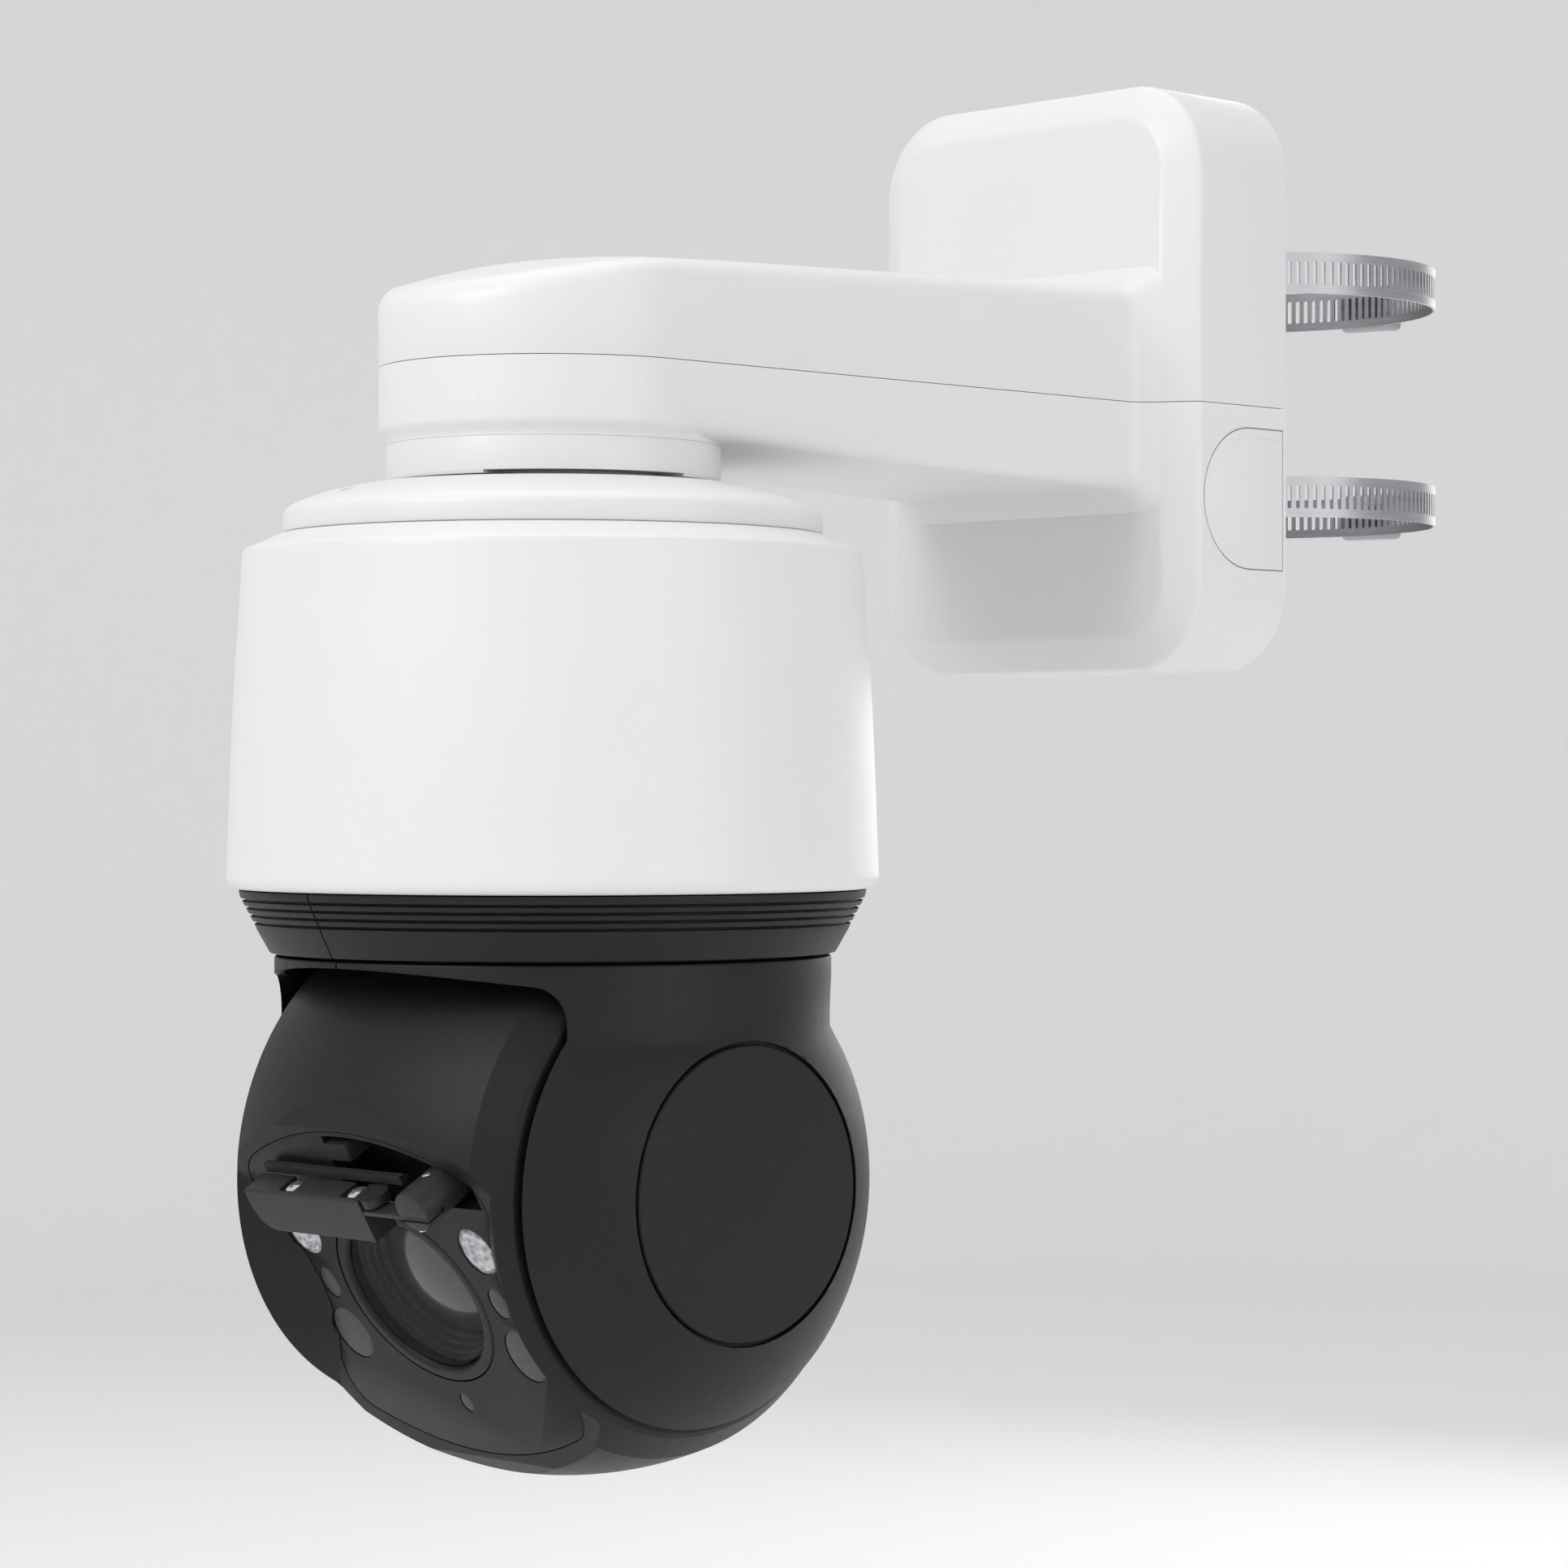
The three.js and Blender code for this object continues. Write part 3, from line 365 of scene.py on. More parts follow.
AXES = {
    "z": lambda r, z, a: np.stack([r * np.cos(a), r * np.sin(a), z + 0 * a], -1),
    "x": lambda r, z, a: np.stack([z + 0 * a, r * np.cos(a), r * np.sin(a)], -1),
}


def turned(profile, axis="z", segments=144, sweep=(0.0, 360.0)):
    """Turns a closed profile of (radius, height): radius times (cos, sin) round the axis. A sweep
    short of a full turn is closed by flat ends."""
    p = np.asarray(profile, float)
    full = abs(sweep[1] - sweep[0]) > 359.9
    a = np.radians(np.linspace(sweep[0], sweep[1], segments + 1))
    a = a[:-1] if full else a
    points = AXES[axis](p[None, :, 0], p[None, :, 1], a[:, None]).reshape(-1, 3)
    on_axis = p[0, 0] == 0.0 and p[-1, 0] == 0.0
    faces = grid_faces(len(a), len(p), wrap_rows=full, wrap_columns=not on_axis)
    if not full:
        last = (len(a) - 1) * len(p)
        faces.append(list(range(len(p)))[::-1])
        faces.append([last + i for i in range(len(p))])
    return points, faces


def rod(radius, low, high, axis="z", segments=72):
    """A plain cylinder between two heights on its axis."""
    return turned([(0.0, low), (radius, low), (radius, high), (0.0, high)], axis, segments)


def slab(outline, low, high):
    """An outline in the first two coordinates, given thickness along the third."""
    n = len(outline)
    bottom = np.column_stack([outline, np.full(n, float(low))])
    top = np.column_stack([outline, np.full(n, float(high))])
    faces = grid_faces(2, n, wrap_columns=True)
    return np.vstack([bottom, top]), faces + [list(range(n)), [n + i for i in range(n)][::-1]]


def reordered(surface, order):
    """The same surface with the coordinates of each point in another order."""
    points, faces = surface
    return points[:, order], faces


def stacked(rings, cap=True):
    """Rings of equally many points joined one to the next, and closed by flat ends."""
    rings = np.asarray(rings, float)
    count, n = rings.shape[:2]
    faces = grid_faces(count, n, wrap_columns=True)
    if cap:
        last = (count - 1) * n
        faces += [list(range(n))[::-1], [last + i for i in range(n)]]
    return rings.reshape(-1, 3), faces


# %% [markdown]
# ## Pieces
#
# A surface becomes a Blender object whose place is in its mesh. Where the real part was cut, such
# as the slab between the cheeks, a Boolean modifier cuts it, a small Bevel rounds the new edges,
# and the result is baked into the mesh, so the object that is left is plain geometry.

# %% Objects from surfaces
def linked(name, data):
    """A new object, placed in the scene."""
    obj = bpy.data.objects.new(name, data)
    bpy.context.scene.collection.objects.link(obj)
    return obj


def set_outwards(mesh):
    """Joins points that coincide and turns every face outwards."""
    bm = bmesh.new()
    bm.from_mesh(mesh)
    bmesh.ops.remove_doubles(bm, verts=bm.verts, dist=2e-6)
    bmesh.ops.recalc_face_normals(bm, faces=bm.faces)
    bm.to_mesh(mesh)
    bm.free()


def raw_object(name, surface, place=in_frame):
    points, faces = surface
    mesh = bpy.data.meshes.new(name)
    mesh.from_pydata((place(points) * MM).tolist(), [], faces)
    set_outwards(mesh)
    return linked(name, mesh)


def bake(obj):
    """Applies the modifiers: the evaluated mesh replaces the object's own."""
    graph = bpy.context.evaluated_depsgraph_get()
    mesh = bpy.data.meshes.new_from_object(obj.evaluated_get(graph))
    obj.modifiers.clear()
    obj.data = mesh


def drop(*objects):
    for obj in objects:
        bpy.data.objects.remove(obj)


def carve(obj, *tools, operation="DIFFERENCE"):
    """Cuts the object with each tool in turn, or adds the tools, and drops them."""
    for tool in tools:
        modifier = obj.modifiers.new("cut", "BOOLEAN")
        modifier.operation = operation
        modifier.solver = "EXACT"
        modifier.object = tool
        bake(obj)
    drop(*tools)
    return obj


def round_edges(obj, width, segments=3, angle=40.0):
    """Bevels the edges whose faces turn by more than the angle, in degrees."""
    modifier = obj.modifiers.new("edges", "BEVEL")
    modifier.width = width * MM
    modifier.segments = segments
    modifier.limit_method = "ANGLE"
    modifier.angle_limit = math.radians(angle)
    modifier.use_clamp_overlap = True
    bake(obj)
    return obj


def finished(obj, material, body, *nodes, sharp=32.0):
    """Gives a piece its finish and body and shades it smooth, but for edges sharper than the angle."""
    mesh = obj.data
    mesh.materials.clear()
    mesh.materials.append(material)
    mesh.polygons.foreach_set("use_smooth", np.ones(len(mesh.polygons), bool))
    mesh.polygons.foreach_set("material_index", np.zeros(len(mesh.polygons), np.int32))
    mesh.set_sharp_from_angle(angle=math.radians(sharp))
    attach(obj, body)
    if nodes:
        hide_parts(*nodes)
    print(f"{obj.name}: {len(mesh.polygons)} faces on {body}")
    return obj


def piece(name, surface, material, body, *nodes, place=in_frame):
    return finished(raw_object(name, surface, place), material, body, *nodes)


def duplicate(obj, name):
    return linked(name, obj.data.copy())


def mirrored(obj, name):
    """A copy flipped across x = 0 with its faces turned back to point outwards."""
    twin = duplicate(obj, name)
    twin.data.transform(Matrix.Scale(-1.0, 4, Vector((1.0, 0.0, 0.0))))
    twin.data.flip_normals()
    return twin


def joined(surfaces):
    """Several surfaces as one list of points and faces."""
    points, faces, start = [], [], 0
    for p, f in surfaces:
        points.append(np.asarray(p, float))
        faces += [[start + i for i in face] for face in f]
        start += len(p)
    return np.vstack(points), faces


def block(x, y, z):
    """A box between two values on each axis."""
    outline = np.array([[x[0], y[0]], [x[1], y[0]], [x[1], y[1]], [x[0], y[1]]], float)
    return slab(outline, z[0], z[1])


# %% [markdown]
# ## The camera
#
# The view comes first: a long lens, level with the camera body, about 45 degrees round from the
# front. A long lens from over a metre keeps the round casing's edges close to upright.

# %% View
VIEW_TURN = math.radians(45.4)
VIEW_BACK = 1344.8
VIEW_ASIDE = 71.1  # the eye stands this far to the right of the pan axis
across = np.array([math.cos(VIEW_TURN), math.sin(VIEW_TURN), 0.0])
forward = np.array([-math.sin(VIEW_TURN), math.cos(VIEW_TURN), 0.0])
eye = camera_origin + VIEW_ASIDE * across - VIEW_BACK * forward
lens = bpy.data.cameras.new("view")
lens.lens = 100.0
lens.sensor_width = 36.0
lens.shift_y = 0.0019
viewer = linked("view", lens)
viewer.location = Vector(eye * MM)
viewer.rotation_euler = (math.radians(90.0), 0.0, VIEW_TURN)
bpy.context.scene.camera = viewer
print("eye at", np.round(eye).tolist())

# %% [markdown]
# ## Dome, collar and sunshield
#
# These are spun or turned in white-coated metal, so each is one profile carried round the pan axis.
# The wall has its real thickness: the lower lip of the sunshield shows it.

# %% Turned white casings
DOME = [(9.0, 93.1), (51.7, 93.1), (58.4, 92.6), (64.7, 91.4), (70.8, 89.9), (76.0, 88.2), (80.6, 86.3),
        (83.1, 84.0), (83.25, 77.2), (80.6, 77.2), (80.4, 82.6), (78.8, 84.2), (69.0, 87.1), (9.0, 90.3)]
dome = raw_object("dome", turned(soften(DOME, 1.2, 4)), in_camera)
SCREW_R, SCREW_TURN = 71.0, -98.6
for turn in (SCREW_TURN, SCREW_TURN + 180.0):
    a = math.radians(turn)
    spot = camera_origin + [SCREW_R * math.cos(a), SCREW_R * math.sin(a), 0.0]
    carve(dome, raw_object("screw_recess", rod(4.3, 88.3, 96.0, segments=40), moved(*spot)))
finished(round_edges(dome, 0.25, 2, 50.0), WHITE, "root", "dome_cap")

SHIELD = [(83.35, 77.6), (93.4, 73.2), (95.3, 72.3), (95.6, 70.2), (96.3, 57.0), (97.7, 37.0), (98.7, 17.0),
          (99.5, -2.6), (100.15, -22.5), (100.4, -28.4), (98.5, -31.1), (95.2, -31.1), (97.2, -27.0),
          (95.4, 17.0), (92.6, 69.5), (83.35, 75.4)]
piece("sunshield_shell", turned(soften(SHIELD, 1.6, 5), segments=192), WHITE, "root", "sunshield",
      place=in_camera)

COLLAR = [(39.0, 93.6), (51.4, 93.6), (51.7, 94.6), (51.7, 104.75), (44.0, 104.75), (44.0, 114.0),
          (39.0, 114.0)]
collar = raw_object("collar", turned(soften(COLLAR, 0.12, 3)), in_camera)
SLOT_SWEEP = (-65.6, 7.8)
slot_section = [(41.0, 93.0), (53.5, 93.0), (53.5, 94.6), (41.0, 94.6)]
slot_tool = turned(slot_section, segments=60, sweep=SLOT_SWEEP)
carve(collar, raw_object("collar_slot", slot_tool, in_camera))
finished(collar, WHITE, "root", "mount_collar")

# %% [markdown]
# ## Rain skirt
#
# Under the shield sits a black ring with fine steps that shed drips. It is moulded in two halves,
# so a hairline joint shows at the front and the back: each half is turned through a little less
# than half a circle.

# %% Stepped skirt halves
SKIRT_STEPS = 4
step_z = -33.9 - 2.35 * np.arange(SKIRT_STEPS)
step_r = 95.3 - 1.25 * np.arange(SKIRT_STEPS)
fins = np.stack([
    np.column_stack([step_r + 0.7, step_z]),
    np.column_stack([step_r - 1.3, step_z - 0.15]),
    np.column_stack([step_r - 1.3, step_z - 0.75]),
    np.column_stack([step_r + 0.25, step_z - 0.8]),
], 1).reshape(-1, 2)
SKIRT = np.vstack([[(84.2, -31.5), (96.6, -31.5)], fins, [(91.3, -42.9), (91.0, -43.6), (87.3, -50.2),
                   (86.9, -50.7), (83.4, -50.7)]])
skirt_profile = soften(SKIRT, 0.3, 3)
for name, sweep in (("right", (-89.8, 89.8)), ("left", (90.2, 269.8))):
    piece(f"rain_skirt_{name}_shell", turned(skirt_profile, segments=110, sweep=sweep), CHARCOAL,
          "root", f"rain_skirt_{name}", place=in_camera)

# %% [markdown]
# ## Yoke
#
# The yoke is a neck over a sphere with a slab taken out of it, which leaves two cheeks. It is one
# profile turned about the pan axis, then cut: the slab between the cheeks, the bell inside the
# neck, the drive space and the shallow seat of each round cap. One half is made and mirrored.

# %% Cut the right half
SPHERE_R = 97.5
NECK_R = 85.7
CHEEK_X = 66.6
CAP_SEAT_R = 45.2
meet = math.degrees(math.asin(math.sqrt(SPHERE_R**2 - NECK_R**2) / SPHERE_R))
ball = arc_points(SPHERE_R, meet, -90.0, 56, (0.0, -TILT_DROP))
ball[-1, 0] = 0.0
neck = soften([(0.0, -21.0), (80.0, -21.0), (80.0, -51.6), (85.3, -51.6), (85.7, -52.2), (85.7, -58.0)],
              0.6, 3, closed=False)
yoke = raw_object("yoke_right_shell", turned(np.vstack([neck, ball]), segments=180), in_camera)

ARCH_TOP, ARCH_FOOT = -53.6, -58.0
arch_x = np.linspace(-60.0, 60.0, 41)
arch = np.column_stack([arch_x, ARCH_TOP - 4.4 * (arch_x / 60.6) ** 2])
bend = np.radians(np.linspace(8, 90, 8))
corner = np.column_stack([CHEEK_X - 6.6 * (1 - np.sin(bend)), ARCH_FOOT - 11.0 * (1 - np.cos(bend))])
opening = np.vstack([[(-CHEEK_X, -240.0)], corner[::-1] * [-1, 1], arch, corner, [(CHEEK_X, -240.0)]])
gap_tool = raw_object("gap", reordered(slab(opening, -130.0, 130.0), [0, 2, 1]), in_camera)
bell_section = [(0.0, -24.0), (77.0, -24.0), (77.0, -54.6), (82.7, -54.6), (82.7, -66.0),
                (70.0, -74.0), (0.0, -74.0)]
bell = raw_object("bell", turned(bell_section, segments=96), in_camera)
drive_section = [(0.0, 69.6), (44.5, 69.6), (44.5, 81.0), (41.5, 84.4), (0.0, 84.4)]
drive = raw_object("drive", turned(drive_section, "x", 72), about_tilt)
seat = raw_object("seat", rod(CAP_SEAT_R, 84.2, 120.0, "x", 144), about_tilt)
bore = raw_object("bore", rod(13.3, 60.0, 75.0, "x", 48), about_tilt)
JOINT = 0.3  # each half of the yoke stops this far short of the middle
away = raw_object("away", block((-150, JOINT), (-150, 150), (-260, 50)), in_camera)
carve(yoke, away, gap_tool, bell, drive, seat, bore)
round_edges(yoke, 1.5, 4, 38.0)
yoke_left = mirrored(yoke, "yoke_left_shell")
finished(yoke, CHARCOAL, "yoke", "yoke_right")
finished(yoke_left, CHARCOAL, "yoke", "yoke_left")

# %% [markdown]
# ## Side caps
#
# Each cheek is closed by a round cover, domed a little to follow the sphere. A groove about a
# millimetre wide is left round it, which reads as a dark ring.

# %% Domed caps
CAP_R, CAP_PEAK, CAP_CURVE = 43.6, 88.4, 560.0
cap_r = np.linspace(0.0, CAP_R, 24)
cap_top = np.column_stack([cap_r, CAP_PEAK - cap_r**2 / (2 * CAP_CURVE)])
cap_side = [(CAP_R, cap_top[-1, 1]), (CAP_R + 0.5, 86.0), (CAP_R + 0.5, 84.5), (0.0, 84.5)]
cap_profile = np.vstack([cap_top, soften(cap_side, 0.4, 3, closed=False)[1:]])
cap = raw_object("side_cap_right_cover", turned(cap_profile, "x", 144), about_tilt)
cap_left = mirrored(cap, "side_cap_left_cover")
finished(cap, CHARCOAL, "yoke", "side_cap_right")
finished(cap_left, CHARCOAL, "yoke", "side_cap_left")

# %% [markdown]
# ## Camera module
#
# The module is a barrel about the tilt axis with a flat face. Its ends are scooped, so the face is
# narrowest at the middle and side walls rise to a crest. The cutter for that is a stack of outlines
# that widen as they leave the face; two more take off the long edges above and below the plate.

# %% Barrel and its cutters
FACE_H = 64.65  # the face stands this far out from the tilt axis
PLATE_SIDE, PLATE_TOP, PLATE_FOOT = 55.4, 59.2, -57.8
TOP_BOW, FOOT_BOW = 198.0, 202.0
WINDOW_R, WINDOW_S = 31.3, 0.4
MODULE_R, CREST_X, CREST_R, END_X, END_R, BULGE = 91.0, 54.0, 81.0, 64.0, 74.0, 150.8
spread = math.degrees(math.asin(CREST_X / BULGE))
crown = arc_points(BULGE, -spread, spread, 40, (MODULE_R - BULGE, 0.0))
barrel_profile = np.vstack([[(0.0, -END_X), (END_R - 1.6, -END_X), (END_R, -END_X + 1.2)], crown,
                            [(END_R, END_X - 1.2), (END_R - 1.6, END_X), (0.0, END_X)]])


def scoop(s):
    """Half the width of the face between its scooped sides: 44 + (s - 2)^2 / 100, up to 60."""
    return 44.0 + np.minimum((s - 2.0) ** 2 / 100.0, 16.0)


def scoop_ring(height):
    """The cutter's outline at a height above the face: the walls lean out 4 in 3."""
    s = np.linspace(-80.0, 80.0, 81)
    right = np.column_stack([scoop(s) + 1.333 * height, s])
    flat = np.vstack([right, right[::-1] * [-1, 1]])
    return np.column_stack([flat, np.full(len(flat), FACE_H + height)])


def face_outline(inset):
    """The plate's outline: shallow arcs above and below, the scoops at the sides, soft corners."""
    side = PLATE_SIDE - inset
    x = np.linspace(-47.0, 47.0, 41)
    top = np.column_stack([x, PLATE_TOP - inset - x**2 / TOP_BOW])
    bottom = np.column_stack([x[::-1], PLATE_FOOT + inset + x[::-1] ** 2 / FOOT_BOW])
    s = np.linspace(34.0, -29.0, 33)
    right = np.column_stack([np.minimum(scoop(s) - 0.4 - inset, side), s])
    corner_up = quadratic(top[-1], (side, PLATE_TOP - 0.4 - inset - side**2 / TOP_BOW), right[0])
    corner_down = quadratic(right[-1], (side, PLATE_FOOT + inset + side**2 / FOOT_BOW), bottom[0])
    half = np.vstack([corner_up, right[1:-1], corner_down])
    return np.vstack([top[1:-1], half, bottom[1:-1], half[::-1] * [-1, 1]])


def quadratic(a, b, c, steps=10):
    """Points on the curve (1-t)^2 a + 2t(1-t) b + t^2 c."""
    t = np.linspace(0.0, 1.0, steps)[:, None]
    return (1 - t) ** 2 * np.asarray(a) + 2 * t * (1 - t) * np.asarray(b) + t**2 * np.asarray(c)


POCKET_FLOOR = FACE_H - 12.0
POCKET_LEFT, POCKET_RIGHT, POCKET_LOW = -8.0, 52.0, 36.0


def pocket_outline(grow):
    """The wiper's pocket: its upper edge keeps 1.8 mm inside the plate's."""
    left, right, low = POCKET_LEFT - grow, POCKET_RIGHT + grow, POCKET_LOW - grow
    x = np.linspace(left, right, 25)
    top = np.column_stack([x, PLATE_TOP - 1.8 + grow - x**2 / TOP_BOW])
    return np.vstack([[(left, low), (right, low)], top[::-1]])


def ellipse(x, s, rx, ry, steps=40):
    """Centre + (rx cos, ry sin)."""
    a = np.linspace(0.0, 2 * np.pi, steps, endpoint=False)
    return np.column_stack([x + rx * np.cos(a), s + ry * np.sin(a)])


LIGHTS = (  # name, x, s, half width, half height
    ("top", 40.5, 20.0, 7.0, 8.0),
    ("middle", 39.3, 1.5, 3.6, 5.5),
    ("large", 40.2, -17.5, 7.6, 9.3),
)
SENSOR = (0.8, -39.0, 2.5, 3.4)


def light_shapes(grow):
    """The outlines of the six lights and the sensor, each a little larger than its lens."""
    lenses = [(side * x, s, rx, ry) for side in (1, -1) for _, x, s, rx, ry in LIGHTS] + [SENSOR]
    return [ellipse(x, s, rx + grow, ry + grow) for x, s, rx, ry in lenses]


def face_tool(name, outline, low, high):
    """A slab of the outline between two heights along the lens."""
    return raw_object(name, slab(outline, low, high), on_face)


def disc(radius, steps=96):
    return ellipse(0.0, WINDOW_S, radius, radius, steps)


# %% Cut the module, then part it behind the face
scoops = raw_object("scoops", stacked([scoop_ring(h) for h in (0.0, 6.0, 12.0, 20.0, 40.0)]), on_face)
module = raw_object("module", turned(barrel_profile, "x", 200), about_tilt)
carve(module, scoops)
EDGE_CUT = ((60.0, 0.02), (70.0, -5.2), (95.0, -14.0), (95.0, 40.0), (60.0, 40.0))  # (s, h - face)
for sign in (1, -1):
    wedge = np.array([[sign * s, FACE_H + h] for s, h in EDGE_CUT])
    carve(module, raw_object("edge_tool", reordered(slab(wedge, -80.0, 80.0), [2, 0, 1]), on_face))
round_edges(module, 0.9, 3, 24.0)
carve(module, face_tool("plate_seat", face_outline(-0.25), FACE_H - 3.3, FACE_H + 8.0))
carve(module, face_tool("pocket", pocket_outline(0.0), POCKET_FLOOR, FACE_H + 30.0))
carve(module, face_tool("well", disc(WINDOW_R - 2.0), -30.0, FACE_H + 5.0))
for shape in light_shapes(0.3):
    carve(module, face_tool("light_well", shape, 52.0, FACE_H + 5.0))
rear = duplicate(module, "module_rear_casing")
module.name = "module_front_casing"
WIDE = (-120.0, 120.0)
carve(module, raw_object("behind", block(WIDE, WIDE, (-140.0, -7.7)), on_face))
carve(rear, raw_object("before", block(WIDE, WIDE, (-8.3, 140.0)), on_face))
carve(rear, face_tool("sensor_room", disc(34.0, 64), -40.0, 0.0))
# The scooped walls meet the barrel at shallow angles: 12 degrees keeps those edges crisp.
finished(module, MODULE_GREY, "camera_module", "module_front_shell", sharp=12.0)
finished(rear, MODULE_GREY, "camera_module", "module_rear_shell", sharp=12.0)

# %% [markdown]
# ## Face plate and lights
#
# One dark plate covers the face. The lights are clear lenses set flush in it: two small ones above,
# whose colour holds painted glints, two narrow ones beside the window, two large pale ones below, and a light
# sensor.

# %% Plate with its openings
plate = face_tool("face_cover", face_outline(0.0), FACE_H - 3.0, FACE_H)
round_edges(plate, 0.35, 2, 40.0)
carve(plate, face_tool("plate_pocket", pocket_outline(0.3), FACE_H - 9.0, FACE_H + 9.0))
carve(plate, face_tool("plate_window", disc(WINDOW_R + 0.25), FACE_H - 9.0, FACE_H + 9.0))
for shape in light_shapes(0.12):
    carve(plate, face_tool("plate_light", shape, FACE_H - 9.0, FACE_H + 9.0))
finished(plate, PLATE, "camera_module", "face_plate")


# %% Light lenses, crowned a little
def crowned(centre, rx, ry, low, rim, peak, rings=7, steps=48, ridge=0.0):
    """An elliptical lens: a straight wall to the rim, then rings that shrink by cos and rise by sin,
    plus ridge times cos(5 pi k), which moulds circular ridges where k is the share of the radius."""
    levels = [(1.0, low), (1.0, rim - 0.15)]
    for angle in np.radians(np.linspace(8.0, 88.0, rings)):
        k = math.cos(angle)
        levels.append((k, rim + (peak - rim) * math.sin(angle) + ridge * (math.cos(5 * math.pi * k) - 1)))
    rings_3d = [np.column_stack([ellipse(*centre, rx * k, ry * k, steps), np.full(steps, h)])
                for k, h in levels]
    return stacked(rings_3d)


for side, label in ((1, "right"), (-1, "left")):
    for name, x, s, rx, ry in LIGHTS:
        # The top lenses take the finish with painted glints in its colour; the others take the pale one.
        top_row = name == "top"
        lens_skin = crowned((side * x, s), rx, ry, FACE_H - 6.0, FACE_H - 0.35, FACE_H + 0.1,
                            30 if top_row else 7, 48, 0.35 if top_row else 0.0)
        finish = GLINT_PAINTED_LENS if top_row else PALE_LENS
        piece(f"light_{name}_{label}_lens", lens_skin, finish, "camera_module", f"light_{name}_{label}",
              place=on_face)
piece("sensor_lens", crowned(SENSOR[:2], SENSOR[2], SENSOR[3], FACE_H - 6.0, FACE_H - 0.35, FACE_H),
      PALE_LENS, "camera_module", "light_sensor", place=on_face)

# %% [markdown]
# ## Window and lens
#
# A flat window sits in a slim ring. Behind it the barrel narrows in three steps to a wide bore, and
# the large coated front element stands in that. The steps show as arcs through the window.

# %% Ring, window, barrel and front element
def turned_on_face(profile, segments=120, shift=(0.0, WINDOW_S)):
    """Turns a profile about an axis that runs along the lens; the shift is in (x, s)."""
    points, faces = turned(profile, "z", segments)
    return points + [shift[0], shift[1], 0.0], faces


RING = [(26.9, FACE_H - 3.0), (26.9, FACE_H - 1.1), (27.5, FACE_H - 0.2), (28.3, FACE_H + 0.12),
        (30.6, FACE_H + 0.12), (31.2, FACE_H - 0.3), (31.2, FACE_H - 3.0)]
piece("window_ring", turned_on_face(soften(RING, 0.25, 3)), MODULE_GREY, "camera_module", "window_bezel",
      place=on_face)
PANE = [(0.0, FACE_H - 2.8), (26.6, FACE_H - 2.8), (26.6, FACE_H - 1.6), (25.9, FACE_H - 1.0),
        (0.0, FACE_H - 1.0)]
piece("window_pane", turned_on_face(PANE), WINDOW, "camera_module", "window_glass", place=on_face)

steps_h = FACE_H - 4.2 - 2.3 * np.arange(3)
steps_r = 25.6 - 1.1 * np.arange(3)
stair = np.stack([np.column_stack([steps_r, steps_h]), np.column_stack([steps_r, steps_h - 1.9]),
                  np.column_stack([steps_r - 0.7, steps_h - 2.3])], 1).reshape(-1, 2)
BARREL = np.vstack([stair, [(22.4, 53.2), (22.4, 47.0), (17.6, 43.0), (17.6, -22.0), (20.5, -22.0),
                            (20.5, 26.0), (26.2, 28.0), (26.2, FACE_H - 4.2)]])
piece("lens_barrel_steps", turned_on_face(BARREL), LENS_GREY, "camera_module", "lens_barrel",
      place=on_face)
GLASS_R, GLASS_CURVE, GLASS_RIM = 22.2, 38.0, 51.2
glass_r = np.linspace(0.0, GLASS_R, 30)
dome_h = GLASS_RIM + np.sqrt(GLASS_CURVE**2 - glass_r**2) - math.sqrt(GLASS_CURVE**2 - GLASS_R**2)
glass_back = [(GLASS_R, GLASS_RIM - 1.4), (0.0, GLASS_RIM - 1.4)]
ELEMENT = np.vstack([np.column_stack([glass_r, dome_h]), glass_back])
piece("front_element", turned_on_face(ELEMENT), COATED, "camera_module", "lens_front_element",
      place=on_face)

# %% [markdown]
# ## Wiper
#
# The wiper is parked in its pocket across the top of the window. A stubby hub turns it; a flat dark
# arm in the hub's slot reaches a bent cover held by two cross-head screws, and the rubber blade lies
# behind the cover, touching the plate.

# %% Hub, arm and park stop
hub_place = np.array(joints["wiper_swing"]["pos_m"]) / MM
HUB_X = hub_place[0] - tilt_centre[0]
HUB_S = float((hub_place - tilt_centre) @ face_up)
HUB_TOP = FACE_H + 13.3
HUB_R = 6.6
ARM_S = 40.35  # the strip stands on edge in a slot below the middle of the hub's end
HUB = [(0.0, 50.0), (3.6, 50.0), (3.6, POCKET_FLOOR + 0.8), (HUB_R, POCKET_FLOOR + 0.8),
       (HUB_R, HUB_TOP), (0.0, HUB_TOP)]
hub_profile = soften(HUB, 0.7, 4, closed=False)
hub = raw_object("hub_cylinder", turned_on_face(hub_profile, 72, (HUB_X, HUB_S)), on_face)
notch = raw_object("notch", block((HUB_X - 8.5, HUB_X + 11.5), (ARM_S - 1.0, ARM_S + 1.0),
                                  (HUB_TOP - 6.8, HUB_TOP + 3.0)), on_face)
carve(hub, notch)
finished(hub, WIPER_GREY, "wiper", "wiper_hub")

strip = block((14.6, HUB_X + 5.6), (ARM_S - 0.75, ARM_S + 0.75), (HUB_TOP - 6.4, HUB_TOP - 0.35))
arm_bar = raw_object("arm_strip", strip, on_face)
finished(round_edges(arm_bar, 0.3, 2), WIPER_GREY, "wiper", "wiper_arm")
park_stop = block((-7.4, 3.0), (49.5, 55.4), (POCKET_FLOOR + 0.3, FACE_H + 1.5))
park = raw_object("park_block", park_stop, on_face)
finished(round_edges(park, 1.0, 3), RUBBER, "camera_module", "wiper_park_stop")

